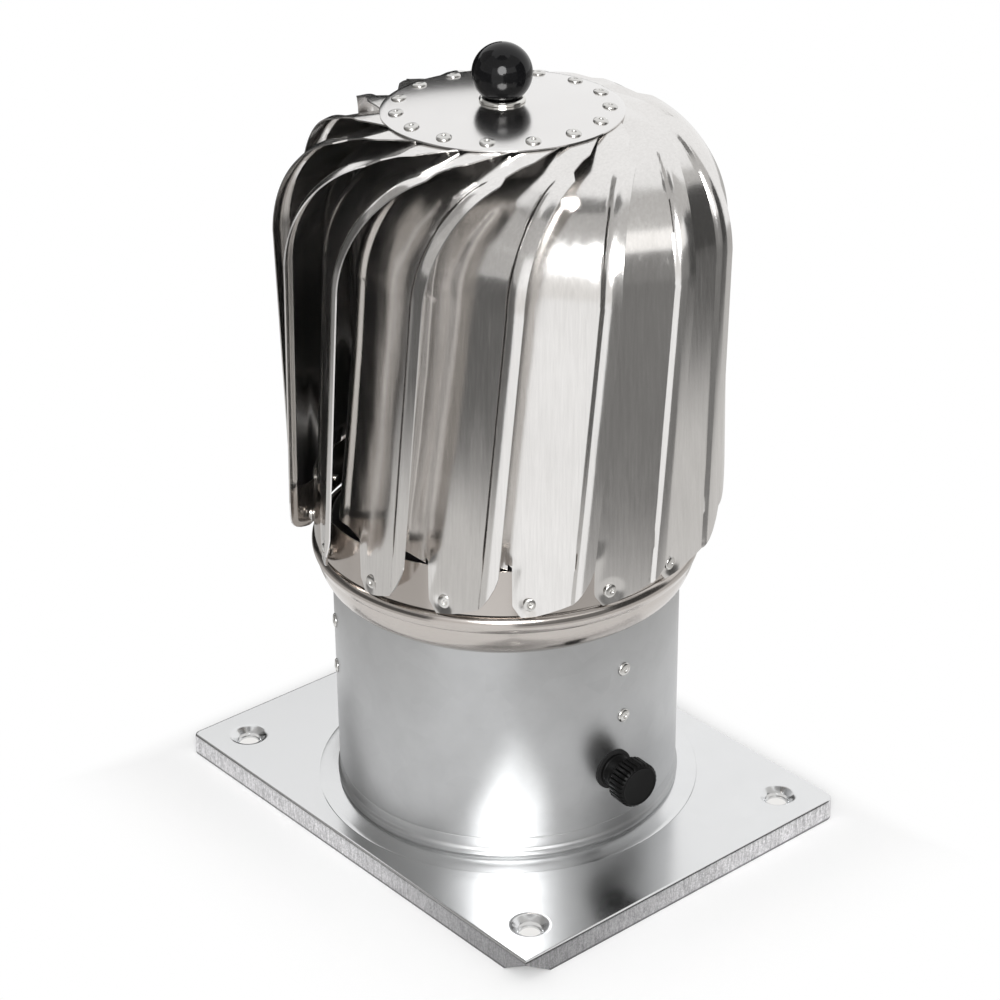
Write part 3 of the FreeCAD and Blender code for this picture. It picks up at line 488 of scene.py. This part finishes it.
# The crowned top disc: both its faces are parts of spheres about one centre on the axis
DISC_R = 49.0
DISC_T = 1.0
DISC_CROWN = 3.5
DISC_RIVET_R = 42.8
CROWN_R = (DISC_R ** 2 + DISC_CROWN ** 2) / (2 * DISC_CROWN)
TONGUE_R = CROWN_R - DISC_T - 0.05
DISC_RIVET_LEAD = 57.3
LANDING_MARGIN = 6.5
RIVET_LEAD = math.radians(DISC_RIVET_LEAD + VANE_SKEW)
RIVET_W = DISC_RIVET_R * math.sin(RIVET_LEAD)
LANDING_U = DISC_RIVET_R * math.cos(RIVET_LEAD) + LANDING_MARGIN
LANDING_Z = SLOPE_Z + (SLOPE_U - LANDING_U) * math.tan(SLOPE)
CROWN_Z = LANDING_Z - math.sqrt(TONGUE_R ** 2 - LANDING_U ** 2 - RIVET_W ** 2)


def vane_path():
    """Down the strip's middle: u, z and the outward direction at each row, from the bottom up."""
    z_leg = np.concatenate([np.linspace(BOTTOM_Z, 165, 34), np.linspace(167, SHOULDER_Z, 42)])
    turn = np.linspace(LEAN, math.pi / 2 - SLOPE, 56)[1:]
    u_slope = np.linspace(SLOPE_U, END_U, 46)[1:]
    u = np.concatenate([
        LEG_U - (z_leg - BOTTOM_Z) * math.tan(LEAN),
        ARC_U + ARC_R * np.cos(turn),
        u_slope,
    ])
    z = np.concatenate([
        z_leg,
        ARC_Z + ARC_R * np.sin(turn),
        SLOPE_Z + (SLOPE_U - u_slope) * math.tan(SLOPE),
    ])
    lean = np.concatenate([np.full_like(z_leg, LEAN), turn, np.full_like(u_slope, turn[-1])])
    return u, z, lean, len(z_leg)


def edge_lines(u, z, on_leg):
    """Inner and outer edge at each row, as w: straight up the leg, then in to the tongue."""
    leg_inner = np.interp(z, *np.array(FLANGE_LINE).T)
    leg_outer = INNER_W - DRIFT * (SHOULDER_Z - z) + WIDTH
    tongue = RIVET_W - TONGUE_INNER
    top_inner = np.interp(u, INNER_KINK_U, [tongue, tongue, 11.0, FLANGE_LINE[-1][1]])
    kink_w = [RIVET_W + k for k in TONGUE_OUTER] + [INNER_W + WIDTH]
    top_outer = np.interp(u, OUTER_KINK_U, kink_w)
    return np.where(on_leg, leg_inner, top_inner), np.where(on_leg, leg_outer, top_outer)


def vane_mesh():
    """Points and faces of one vane: its rows, edge beads, rivet dent, tab, flange and tongue."""
    u, z, lean, leg_rows = vane_path()
    on_leg = np.arange(len(u)) < leg_rows
    inner, outer = edge_lines(u, z, on_leg)
    above = smooth_step(z, SLOT_TOP_Z + 1, SLOT_TOP_Z + 22)
    left = TAB_W + np.clip(BOTTOM_Z + TAB_CHAMFER - z, 0, TAB_CHAMFER) * 0.9
    leg_split = left + (inner + LEG_SPLIT_W - left) * above
    split = np.where(on_leg, leg_split, inner + (outer - inner) * TOP_SPLIT)
    gap = np.where(z > FLANGE_Z, SLOT_GAP, CUT_GAP)
    # Columns on both sides of the slot, closer together towards the outer bead
    cols_in, cols_out = 17, 44
    rows = []
    for k in range(len(u)):
        a = np.linspace(inner[k], split[k] - gap[k], cols_in)
        share = np.linspace(0, 1, cols_out)
        b = split[k] + (outer[k] - split[k]) * (1 - (1 - share) ** 1.35)
        rows.append(np.concatenate([a, b]))
    w = np.array(rows)
    # The bottom edge curves up towards the outer side; the flange's end rises the other way
    low_down = np.clip((BOTTOM_Z + BOTTOM_BLEND - z) / BOTTOM_BLEND, 0, 1)[:, None]
    rise = np.interp(w, BOTTOM_W, BOTTOM_RISE) * low_down
    start, end = FLANGE_BLEND
    lift = FLANGE_LIFT * np.clip((TAB_W - w) / FLANGE_LIFT_W, 0, 1)
    lift = lift * np.clip((end - z) / (end - start), 0, 1)[:, None]
    moved = np.where(np.arange(w.shape[1]) < cols_in, lift, rise) * on_leg[:, None]
    z_all = z[:, None] + moved
    u_all = u[:, None] - moved * math.tan(LEAN)
    share = np.clip((w - split[:, None]) / (outer - split)[:, None], 0, 1)
    w = w + DRIFT * moved * share
    edge = outer[:, None] + DRIFT * moved
    fade = smooth_step(u, 36, 47)[:, None]
    t_out = np.clip((w - (edge - BEAD_W)) / BEAD_W, 0, 1)
    t_in = np.clip(((inner[:, None] + BEAD_W) - w) / BEAD_W, 0, 1)
    # h is the height over the plain strip: beads on both edges, then the tab
    h = BEAD_H * np.sin(math.pi * t_out ** 0.65) * fade
    h = h + BEAD_H * np.sin(math.pi * t_in) * smooth_step(u, 52, 68)[:, None]
    # The tab lies on the collar and is dented under its rivet
    on_tab = (1 - smooth_step(z_all, *TAB_FADE)) * (w >= split[:, None] - 0.01)
    over = np.sqrt((COLLAR_R + COLLAR_CLEAR) ** 2 - np.clip(w, 0, 40) ** 2) - u_all
    away = ((w - RIVET_AT[0]) ** 2 + (z_all - RIVET_AT[1]) ** 2) / DENT_R ** 2
    dent = DENT_DEPTH * (1 - np.clip(away, 0, 1)) ** 2
    h = h + ((over + np.sqrt(over ** 2 + 0.02)) / 2 - dent) * on_tab
    out = np.stack([np.cos(lean), np.zeros_like(lean), np.sin(lean)], 1)
    points = np.stack([u_all, w, z_all], 2) + out[:, None, :] * h[:, :, None]
    # The upper end bends softly under the crowned disc
    under = CROWN_Z + np.sqrt(TONGUE_R ** 2 - points[:, :, 0] ** 2 - points[:, :, 1] ** 2)
    high = points[:, :, 2]
    soft = (high + under - np.sqrt((high - under) ** 2 + 0.12)) / 2
    points[:, :, 2] = np.where(on_leg[:, None], high, soft)
    wide = w.shape[1]
    depth = np.repeat(-out[:, None, :] * VANE_T, wide, 1).reshape(-1, 3)
    faces = []
    for i in range(len(u) - 1):
        for j in range(wide - 1):
            cut_off = j < cols_in - 1 and z[i] < FLANGE_Z
            slot = j == cols_in - 1 and z[i] < SLOT_TOP_Z
            a = i * wide + j
            if not (cut_off or slot):
                faces.append((a, a + 1, a + 1 + wide, a + wide))
    return thicken(points.reshape(-1, 3), faces, depth)


def turned(points, degrees):
    """Points turned anticlockwise about Z."""
    t = math.radians(degrees)
    c, s = math.cos(t), math.sin(t)
    x, y, z = np.asarray(points, float).T
    return np.stack([x * c - y * s, x * s + y * c, z], 1)


def used_only(points, faces):
    """Drops points that no face uses."""
    used = sorted({i for f in faces for i in f})
    new = {old: k for k, old in enumerate(used)}
    return points[used], [tuple(new[i] for i in f) for f in faces]


def make_vanes():
    points, faces = used_only(*vane_mesh())
    for k in range(VANE_COUNT):
        name = f"vane_{k + 1:02d}"
        here = turned(points, VANE_FIRST + PITCH * k - VANE_SKEW)
        finish_mesh(f"{name}_sheet", here, faces, "vane", "rotor", [name], 40)


make_vanes()

# Turned and rolled pieces

NECK_R = 75.0
NECK_T = 0.7
NECK_TOP_Z = 137.0
COLLAR_T = 0.6
COLLAR_BOTTOM_Z, COLLAR_TOP_Z = 133.2, 153.5
BALL_R = 12.2
BORE_R = 4.1


def closed(profile):
    return profile + profile[:1]


def make_rings():
    """The crowned disc, the collar, the rain ring with its bowl, and the neck with its foot."""
    lean = np.linspace(4.2 / CROWN_R, (DISC_R - 0.2) / CROWN_R, 24)
    top = [(CROWN_R * math.sin(t), CROWN_Z + CROWN_R * math.cos(t)) for t in lean]
    low = [(r * (1 - DISC_T / CROWN_R), z - DISC_T) for r, z in reversed(top)]
    rim_z = top[-1][1]
    disc = top + [(DISC_R, rim_z - 0.25), (DISC_R, rim_z - 0.8)] + low
    lathe_piece("disc_plate", closed(disc), "disc", "rotor", ["top_disc"])
    inner = COLLAR_R - COLLAR_T
    collar = [(inner, COLLAR_BOTTOM_Z), (COLLAR_R, COLLAR_BOTTOM_Z)]
    collar += [(COLLAR_R, COLLAR_TOP_Z), (inner, COLLAR_TOP_Z)]
    lathe_piece("collar_band", closed(collar), "ring", "rotor", ["rotor_collar"])
    bowl = [
        (75.06, 112.0),
        (77.6, 113.9),
        (79.5, 117.2),
        (81.1, 121.4),
        (82.0, 125.0),
        (82.3, 125.3),
        (83.1, 127.2),
        (83.4, 129.0),
        (82.7, 131.0),
        (81.1, 132.2),
        (79.3, 132.5),
    ]
    inside = [(79.3, 131.9), (80.9, 131.6), (82.2, 130.6), (82.7, 128.9), (81.3, 125.2)]
    inside += [(78.8, 117.4), (75.06, 113.2)]
    ring = rounded(bowl, 1.6, 4) + rounded(inside, 1.2, 4)
    lathe_piece("rain_ring", closed(ring), "ring", "base", ["drip_ring"])
    r = NECK_R
    outer = [
        (r, NECK_TOP_Z),
        (r, 21.0),
        (r - 0.2, 20.7),
        (r, 20.4),
        (r, 15.8),
        (r + 0.9, 14.8),
        (r + 0.9, 12.4),
        (r, 11.3),
        (r, 10.05),
    ]
    flange = [(r, 8.95), (r + 4, 8.95), (r + 4, 8.25), (r - NECK_T, 8.25)]
    neck = rounded(outer, 0.6, 3) + flange + [(r - NECK_T, NECK_TOP_Z)]
    lathe_piece("neck_tube", closed(neck), "neck", "base", ["neck_pipe"])


make_rings()


def make_knob():
    """The ball with its flat foot, and the washer under it."""
    low, high = (v.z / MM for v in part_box("ball_knob"))
    centre = high - BALL_R
    turns = np.linspace(math.asin((low - centre) / BALL_R), math.pi / 2, 72)
    ball = [(BALL_R * math.cos(t), centre + BALL_R * math.sin(t)) for t in turns]
    ball[-1] = (0.001, high)
    foot = ball[0][0]
    profile = [(BORE_R, low), (foot - 0.5, low)] + ball[1:]
    lathe_piece("knob_ball", profile, "ball", "rotor", ["ball_knob"], 128)
    z0, z1 = (v.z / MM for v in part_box("knob_washer"))
    cup = [(BORE_R, z0), (9.4, z0), (9.4, z0 + 0.8), (8.6, z1), (BORE_R, z1)]
    cup = rounded(cup, 0.15, 3)
    lathe_piece("knob_cup", closed(cup), "washer", "rotor", ["knob_washer"], 128)


make_knob()

# Base plate

PLATE_X, PLATE_Y, PLATE_TOP, PLATE_T = 91.0, 116.0, 10.0, 1.0
BEND_R = 1.3
MITRE = 13.5
CORNER_R = {1: 5.5, -1: 3.2}
SEAT_R = 84.9
DIMPLE_R = 8.9
LIP_START = 0.7
HOLES = [(sx * 72.5, sy * 97.5) for sx in (1, -1) for sy in (1, -1)]


def circle(x, y, r, z, count):
    turns = np.linspace(0, 2 * math.pi, count, endpoint=False)
    return [(x + r * math.cos(t), y + r * math.sin(t), z) for t in turns]


def flat_with_holes(bm, loops):
    """Fills the region between loops of points in millimetres."""
    edges = []
    for loop in loops:
        verts = [bm.verts.new(Vector(p) * MM) for p in loop]
        edges += [bm.edges.new((a, b)) for a, b in zip(verts, verts[1:] + verts[:1])]
    bmesh.ops.triangle_fill(bm, use_beauty=True, use_dissolve=False, edges=edges)


def dimple(x, y):
    """Pressed hollow round a screw hole, with the hole's edge turned down."""
    top = PLATE_TOP
    profile = [
        (DIMPLE_R, top),
        (8.1, top - 0.12),
        (7.4, top - 0.5),
        (6.4, top - 1.3),
        (5.6, top - 1.8),
        (5.1, top - 2.3),
        (4.9, top - 3.6),
        (4.5, top - 3.9),
        (4.3, top - 3.9),
        (4.2, top - 4.6),
        (5.3, top - 4.6),
        (5.9, top - 3.8),
        (5.9, top - 2.6),
        (7.6, top - 1.3),
        (DIMPLE_R, top - PLATE_T),
    ]
    return lathe(profile, 64, (x, y))


def rim_rows():
    """Cross-section of the bend and lip: (outward offset from the flat's edge, z)."""
    turns = np.linspace(0, math.pi / 2, 7)
    top = PLATE_TOP
    return [(BEND_R * math.sin(t), top - BEND_R + BEND_R * math.cos(t)) for t in turns]


def lip_strip(side):
    """Bend and lip on two edges and the closed corner between them; the far ends are mitred.

    side is -1 for the edges at low x and high y, 1 for those at high x and low y.
    """
    x, y = PLATE_X, PLATE_Y
    turns = np.linspace(0, math.pi / 2, 13)
    points, normals = [], []
    rows = [(out, z, 0.0) for out, z in rim_rows()]
    for t in np.linspace(0, 1, 6)[1:]:
        rows.append((BEND_R, (PLATE_TOP - BEND_R) * (1 - t), MITRE * t))
    for out, z, cut in rows:
        back = BEND_R - out
        start = 2 * y - back - cut
        corner = CORNER_R[side]
        long_side = [(x - back, y - start * k, 1, 0) for k in np.linspace(1, corner / start, 40)]
        long_side = long_side[:-1]
        centre = (x - corner, y - corner)
        r = corner - back
        bend = [
            (centre[0] + r * math.cos(t), centre[1] + r * math.sin(t), math.cos(t), math.sin(t))
            for t in turns
        ]
        start = 2 * x - back - cut
        ks = np.linspace(corner / start, 1, 34)[1:]
        short_side = [(x - start * k, y - back, 0, 1) for k in ks]
        steep = math.asin(min(1.0, out / BEND_R))
        for a, b, c, d in long_side + bend + short_side:
            points.append((side * a, -side * b, z))
            flat = math.sin(steep)
            normals.append((side * c * flat, -side * d * flat, math.cos(steep)))
    count = len(points) // len(rows)
    faces = []
    for i in range(len(rows) - 1):
        for j in range(count - 1):
            a = i * count + j
            faces.append((a, a + count, a + 1 + count, a + 1))
    return thicken(np.array(points), faces, -PLATE_T * np.array(normals))


def make_plate():
    """The flat with its pressed dimples and the neck's raised seat, and the folded lips."""
    bm = bmesh.new()
    x, y = PLATE_X - BEND_R, PLATE_Y - BEND_R
    for z in (PLATE_TOP, PLATE_TOP - PLATE_T):
        outer = []
        for side, corner in CORNER_R.items():
            cut = corner - BEND_R
            outer.append((side * x, side * y, z))
            for t in np.linspace(0, math.pi / 2, 13):
                a, b = x - cut + cut * math.cos(t), y - cut + cut * math.sin(t)
                outer.append((side * a, -side * b, z))
        loops = [outer, circle(0, 0, SEAT_R, z, 256)]
        flat_with_holes(bm, loops + [circle(hx, hy, DIMPLE_R, z, 64) for hx, hy in HOLES])
    for f in bm.faces:
        up = f.calc_center_median().z > (PLATE_TOP - 0.5) * MM
        f.normal_update()
        if (f.normal.z > 0) != up:
            f.normal_flip()
    data = bpy.data.meshes.new("plate_flat")
    bm.to_mesh(data)
    bm.free()
    top, r = PLATE_TOP, NECK_R + 0.1
    seat = [(SEAT_R, top - PLATE_T), (SEAT_R, top), (84.5, top - 0.1), (84.1, top)]
    seat += [(82.5, top + 0.1), (76.5, top + 0.7), (75.9, top + 0.85)]
    seat += [(r, top + 0.85), (r, top - PLATE_T)]
    parts = [dimple(hx, hy) for hx, hy in HOLES] + [lathe(seat, 256)]
    points = [p for part in parts for p in part[0]]
    faces, start = [], 0
    for part in parts:
        faces += [tuple(i + start for i in f) for f in part[1]]
        start += len(part[0])
    pressed = welded("pressed", points, faces)
    flat = bmesh.new()
    flat.from_mesh(data)
    flat.from_mesh(pressed)
    bpy.data.meshes.remove(pressed)
    bmesh.ops.remove_doubles(flat, verts=flat.verts, dist=2e-6)
    flat.to_mesh(data)
    flat.free()
    dress("plate_sheet", data, "plate", "base", ["base_plate"], 25)
    points, faces, start = [], [], 0
    for side in (1, -1):
        p, f = lip_strip(side)
        points.append(p)
        faces += [tuple(i + start for i in face) for face in f]
        start += len(p)
    obj = finish_mesh(
        "plate_lips", np.vstack(points), faces, ["plate", "lip"], "base"
    )
    for face in obj.data.polygons:
        face.material_index = int(face.center.z < (PLATE_TOP - LIP_START) * MM)


make_plate()

# Rivets, placed by geometry nodes, and the cable gland


def scatter(name, points, turns, pattern, material, body, stands_for=()):
    """Copies of the pattern mesh at points, each turned by its Euler angles."""
    source = bpy.data.objects.new(name + "_pattern", pattern)
    bpy.context.scene.collection.objects.link(source)
    seed = bpy.data.meshes.new(name + "_points")
    seed.from_pydata([tuple(Vector(p) * MM) for p in points], [], [])
    turn = seed.attributes.new("turn", "FLOAT_VECTOR", "POINT")
    turn.data.foreach_set("vector", np.array(turns, np.float32).ravel())
    holder = bpy.data.objects.new(name + "_holder", seed)
    bpy.context.scene.collection.objects.link(holder)
    group = bpy.data.node_groups.new(name + "_nodes", "GeometryNodeTree")
    for way in ("INPUT", "OUTPUT"):
        group.interface.new_socket("Geometry", in_out=way, socket_type="NodeSocketGeometry")
    tree = Tree(group)
    start = tree.node("NodeGroupInput")
    info = tree.node("GeometryNodeObjectInfo", {"Object": source})
    angles = tree.node(
        "GeometryNodeInputNamedAttribute", {"Name": "turn"}, data_type="FLOAT_VECTOR"
    )
    rotation = tree.node("FunctionNodeEulerToRotation", {"Euler": angles.outputs["Attribute"]})
    sockets = {
        "Points": start.outputs[0],
        "Instance": info.outputs["Geometry"],
        "Rotation": rotation.outputs["Rotation"],
    }
    copies = tree.node("GeometryNodeInstanceOnPoints", sockets)
    real = tree.node("GeometryNodeRealizeInstances", {"Geometry": copies.outputs["Instances"]})
    sockets = {"Geometry": real.outputs["Geometry"], "Material": MATERIALS[material]}
    paint = tree.node("GeometryNodeSetMaterial", sockets)
    tree.node("NodeGroupOutput", {0: paint.outputs["Geometry"]})
    modifier = holder.modifiers.new("copies", "NODES")
    modifier.node_group = group
    bpy.context.view_layer.update()
    shown = holder.evaluated_get(bpy.context.evaluated_depsgraph_get())
    data = bpy.data.meshes.new_from_object(shown)
    data.name = name
    for scratch in (holder, source):
        bpy.data.objects.remove(scratch)
    return dress(name, data, material, body, stands_for)


def rivet_pattern():
    """Flat-domed blind rivet with a hollow where its pin broke off; the seat is at z = 0."""
    profile = rounded([
        (0.001, 0.5),
        (0.75, 0.55),
        (0.95, 1.05),
        (1.5, 1.12),
        (2.4, 0.95),
        (3.0, 0.6),
        (3.2, 0.0),
        (1.6, -0.05),
        (1.6, -2.6),
        (0.001, -2.6),
    ], 0.3, 3)
    return welded("rivet_pattern", *lathe(profile, 40))


def outward(angle, radius, z):
    """Place and turn of a rivet that points away from the axis."""
    t = math.radians(angle)
    return (radius * math.cos(t), radius * math.sin(t), z), (0, math.pi / 2, t)


RIVET_SEAT_R = 82.72
NECK_RIVET_ANGLES = (-90, 30, 150)
NECK_RIVET_Z = (93.0, 70.5)


def make_rivets():
    """Two to each vane, in the disc and in the tab, and pairs in the neck."""
    tops, sides = [], []
    r = DISC_RIVET_R
    tilt = math.asin(r / CROWN_R)
    high = CROWN_Z + CROWN_R * math.cos(tilt)
    for k in range(VANE_COUNT):
        t = math.radians(VANE_FIRST + PITCH * k + DISC_RIVET_LEAD)
        tops.append(((r * math.cos(t), r * math.sin(t), high), (0, tilt, t)))
        sides.append(outward(VANE_FIRST + PITCH * k, RIVET_SEAT_R, RIVET_AT[1]))
    necks = [outward(angle, NECK_R, z) for angle in NECK_RIVET_ANGLES for z in NECK_RIVET_Z]
    pattern = rivet_pattern()
    for name, heads, body, node in (
        ("rotor_rivet_heads", tops + sides, "rotor", "vane_rivets"),
        ("neck_rivet_heads", necks, "base", "spider_rivets"),
    ):
        places, turns = zip(*heads)
        scatter(name, places, turns, pattern, "rivet", body, [node])


make_rivets()

GLAND_ANGLE = -94.0
GLAND_Z = 46.0
NUT_LOW, NUT_TOP = 8.7, 17.7
NUT_R, RIB_DEPTH, RIB_COUNT = 9.1, 0.9, 30


def gland_points(points):
    """Points built along +Z from the neck's outside, laid out along the gland's axis."""
    x, y, z = np.asarray(points, float).T
    t = math.radians(GLAND_ANGLE)
    c, s = math.cos(t), math.sin(t)
    east, north = z * c - y * s + NECK_R * c, z * s + y * c + NECK_R * s
    return np.stack([east, north, GLAND_Z - x], 1)


def gland_lathe(name, profile, material, stands_for=()):
    points, faces = lathe(profile, 96)
    data = welded(name, gland_points(points), faces)
    return dress(name, data, material, "base", stands_for)


def ribbed_nut():
    """Clamping nut with rounded ribs round it."""
    low, top, count = NUT_LOW, NUT_TOP, 480
    points = []
    for k in range(count):
        t = 2 * math.pi * k / count
        r = NUT_R + RIB_DEPTH * min(1.0, 1.6 * abs(math.cos(RIB_COUNT * t / 2)))
        inner = [(6.4, low), (r - 0.5, low), (r, low + 0.5), (r, top - 1.6), (r - 0.25, top - 0.9)]
        inner += [(9.0, top - 0.4), (8.8, top - 0.1), (8.4, top)]
        points += [(q * math.cos(t), q * math.sin(t), z) for q, z in inner]
    n = len(inner)
    faces = []
    for k in range(count):
        a, b = k * n, (k + 1) % count * n
        faces += [(a + j, b + j, b + j + 1, a + j + 1) for j in range(n - 1)]
    data = welded("gland_ribs", gland_points(points), faces)
    dress("gland_ribs", data, "gland", "base", ["gland_nut"], 50)
    cap = [(8.5, top - 0.02), (8.0, top - 0.25), (7.6, top - 0.3), (0.001, top - 0.3)]
    gland_lathe("gland_face", cap, "cap")


def make_gland():
    """The nut and its closed face, and the body that reaches through the neck's wall."""
    ribbed_nut()
    body = rounded([
        (4.1, -7.1),
        (6.0, -7.1),
        (6.0, 0.62),
        (7.4, 0.62),
        (7.4, 2.0),
        (7.0, 2.3),
        (7.0, 8.5),
        (6.2, 8.6),
        (6.2, 15.5),
        (4.1, 15.5),
    ], 0.5, 3)
    gland_lathe("gland_barrel", closed(body), "gland", ["gland_body"])


make_gland()

# CAD nodes that stay as they are, with better materials

KEPT = {
    "spider": "neck",
    "bearing_housing": "cast",
    "bearing_outer_rings": "bright",
    "bearing_inner_rings": "bright",
    "bearing_spacer": "bright",
    "housing_circlip": "core",
    "shaft_circlip": "core",
    "housing_screws": "rivet",
    "housing_nuts": "rivet",
    "motor_housing": "cast",
    "motor_cover": "cast",
    "stator_ring": "core",
    "magnet_rotor": "core",
    "shaft": "bright",
    "hub_flange": "cast",
    "gland_blank": "gland",
    "gland_seal": "rubber",
    "gland_locknut": "gland",
}
for name, key in KEPT.items():
    mesh = nodes[name].data
    mesh.materials.clear()
    mesh.materials.append(MATERIALS[key])

# Stage: floor, cards and lamp

CARD_TINT = (1, 0.985, 0.965)


def card_material(name, near_level, far_level, near=300.0, far=700.0):
    """Grey of a studio card, as the metal sees it; it may change with the distance in mm."""
    m = Shader(name, Roughness=1.0, Emission_Strength=1.0, Specular_IOR_Level=0.0)
    m.set("Base Color", (0, 0, 0, 1))
    radius = m.polar()[1]
    ends = [[level * k for k in CARD_TINT] for level in (near_level, far_level)]
    m.set("Emission Color", m.colours(radius.ramp(near, far), *ends))
    return m.material


def stage_mesh(name, points, faces, material):
    data = bpy.data.meshes.new(name)
    data.from_pydata(points, [], faces)
    data.materials.append(material)
    obj = bpy.data.objects.new(name, data)
    bpy.context.scene.collection.objects.link(obj)
    return obj


def as_card(obj, in_picture=False):
    """Keeps a card out of the light and the shadows; the metal reflects it all the same."""
    obj.visible_camera = in_picture
    obj.visible_shadow = False
    obj.visible_diffuse = False


CAMERA_TURN = math.atan2(CAMERA_AT[1], CAMERA_AT[0])


def around(degrees, distance, height):
    """A place at an angle from the camera's direction, anticlockwise seen from above."""
    t = CAMERA_TURN + math.radians(degrees)
    return (distance * math.cos(t), distance * math.sin(t), height)


def arc_card(name, turn, count, rows, grey):
    """Card that bends round the object between two rows, each a distance and a height."""
    turns = np.linspace(*turn, count)
    points = [around(t, *row) for row in rows for t in turns]
    faces = [(k, k + 1, k + 1 + count, k + count) for k in range(count - 1)]
    as_card(stage_mesh(name, points, faces, grey))


def wall_card(name, turn, rise, level, distance=1.5):
    """Card standing round the object; turn and rise are its first and last angles."""
    heights = (0.22 + distance * math.tan(math.radians(r)) for r in rise)
    rows = [(distance, z) for z in heights]
    arc_card(name, turn, 13, rows, card_material(name, level, level))


def floor_card(name, turn, levels, distances):
    """Card lying round the object: its grey at the near and far ends of a soft change."""
    rows = [(distance, 0.002) for distance in (0.2, 3.0)]
    arc_card(name, turn, 25, rows, card_material(name, *levels, *distances))


KEY_TURN, KEY_DISTANCE, KEY_HEIGHT = 0, 2.5, 1.46
KEY_SIZE = 1.6
KEY_RADIANCE = 11
KEY_AIM = (0, 0, 0.19)


def make_lamp():
    """Round softbox above the camera."""
    data = bpy.data.lights.new("key", "AREA")
    data.shape = "DISK"
    data.size = KEY_SIZE
    data.energy = KEY_RADIANCE * math.pi * math.pi * KEY_SIZE * KEY_SIZE / 4
    obj = bpy.data.objects.new("key", data)
    obj.location = around(KEY_TURN, KEY_DISTANCE, KEY_HEIGHT)
    aim = Vector(KEY_AIM) - obj.location
    obj.rotation_euler = aim.to_track_quat("-Z", "Y").to_euler()
    bpy.context.scene.collection.objects.link(obj)


SHADOW_REACH = (8.0, 70.0)
# Glowing discs under the screw holes, which are painted light: their radius, their drop below the
# plate's top and their glow
HOLE_GLOW_R = 6.5
HOLE_GLOW_DROP = 5.2
HOLE_GLOW_LEVEL = 0.85
WORLD_LEVEL = 0.6


def make_floor():
    """Pale floor that takes the shadow near the plate and goes over to white further out.

    Discs under the screw holes glow pale grey without being lit. This is painted light that makes
    the holes look pale inside.
    """
    m = Shader("floor_paper", Roughness=0.9)
    m.set("Base Color", m.colours(m.noise(0.004, 2.0), (0.95,) * 3, (0.9595,) * 3))
    x, y, _ = m.xyz()
    before = (-1.0 * x - PLATE_X).at_least(-1.0 * y - PLATE_Y)
    behind = (x - PLATE_X).at_least(y - PLATE_Y) * 3.0
    far = before.at_least(behind).ramp(*SHADOW_REACH)
    white = m.node("ShaderNodeEmission").outputs[0]
    sockets = {0: far * m.looked_at(), 1: m.main.outputs[0], 2: white}
    mix = m.node("ShaderNodeMixShader", sockets)
    m.put(m.nodes["Material Output"].inputs["Surface"], mix.outputs[0])
    points = [(-9, -9, 0), (9, -9, 0), (9, 9, 0), (-9, 9, 0)]
    stage_mesh("floor", points, [(0, 1, 2, 3)], m.material)
    # Painted light: discs that glow pale grey under the screw holes, seen by the camera and lit by
    # no lamp
    hole_glow_material = card_material("painted_hole_glow", HOLE_GLOW_LEVEL, HOLE_GLOW_LEVEL)
    for k, (x, y) in enumerate(HOLES):
        rim = circle(x, y, HOLE_GLOW_R, PLATE_TOP - HOLE_GLOW_DROP, 32)
        disc = [[c * MM for c in p] for p in rim]
        as_card(stage_mesh(f"hole_paper_{k}", disc, [tuple(range(32))], hole_glow_material), True)


def make_world():
    """White where it is looked at, and less than that where it lights the object."""
    world = bpy.data.worlds.new("studio")
    bpy.context.scene.world = world
    world.use_nodes = True
    tree = Tree(world.node_tree)
    light = tree.nodes["Background"]
    tree.put(light.inputs["Color"], (1, 1, 1, 1))
    tree.put(light.inputs["Strength"], WORLD_LEVEL)
    white = tree.node("ShaderNodeBackground", {"Color": (1, 1, 1, 1), "Strength": 1.0})
    sockets = {0: tree.looked_at(), 1: light.outputs[0], 2: white.outputs[0]}
    mix = tree.node("ShaderNodeMixShader", sockets)
    tree.put(tree.nodes["World Output"].inputs["Surface"], mix.outputs[0])


# Studio cards that only the metal's reflections see. Floor: turn from the camera, near and far
# grey, the distances in mm between which the grey changes. Wall: turn, rise, grey and, where it
# stands nearer, its distance in metres.
FLOOR_CARDS = {
    "floor_left_back": ((-180, -132), (0.5, 0.03), (300, 480)),
    "floor_left_side": ((-132, -92), (0.62, 0.24), (380, 620)),
    "floor_left_front": ((-92, -40), (0.66, 0.13), (460, 600)),
    "floor_right_front": ((4, 52), (0.62, 0.2), (340, 540)),
    "floor_right_side": ((52, 98), (0.68, 0.12), (520, 820)),
    "floor_right_back": ((98, 180), (0.7, 0.5), (400, 900)),
}
WALL_CARDS = {
    "low_left_back": ((-180, -130), (-8, 17), 0.02),
    "low_left_side": ((-130, -92), (-8, 25), 0.11),
    "low_left_front": ((-92, -40), (-8, 13), 0.12),
    "low_front": ((-40, 4), (-8, 11), 0.85),
    "low_right_front": ((4, 58), (-8, 17), 0.24),
    "low_right_side": ((58, 98), (-8, 34), 0.07),
    "band_left": ((-100, -40), (14, 34), 0.5),
    "band_right": ((17, 50), (18, 34), 1.1),
    "high_left_back": ((-140, -92), (26, 60), 0.34),
    "high_left": ((-92, -17), (34.5, 66), 0.5),
    "high_front": ((-17, 17), (44, 66), 0.5),
    "high_right": ((17, 100), (34.5, 66), 0.55),
    "over_front": ((-50, 50), (66, 84), 0.2, 0.5),
}


def make_stage():
    make_floor()
    make_world()
    for name, values in FLOOR_CARDS.items():
        floor_card(name, *values)
    for name, values in WALL_CARDS.items():
        wall_card(name, *values)
    make_lamp()


make_stage()

bpy.context.scene.view_settings.view_transform = "Standard"
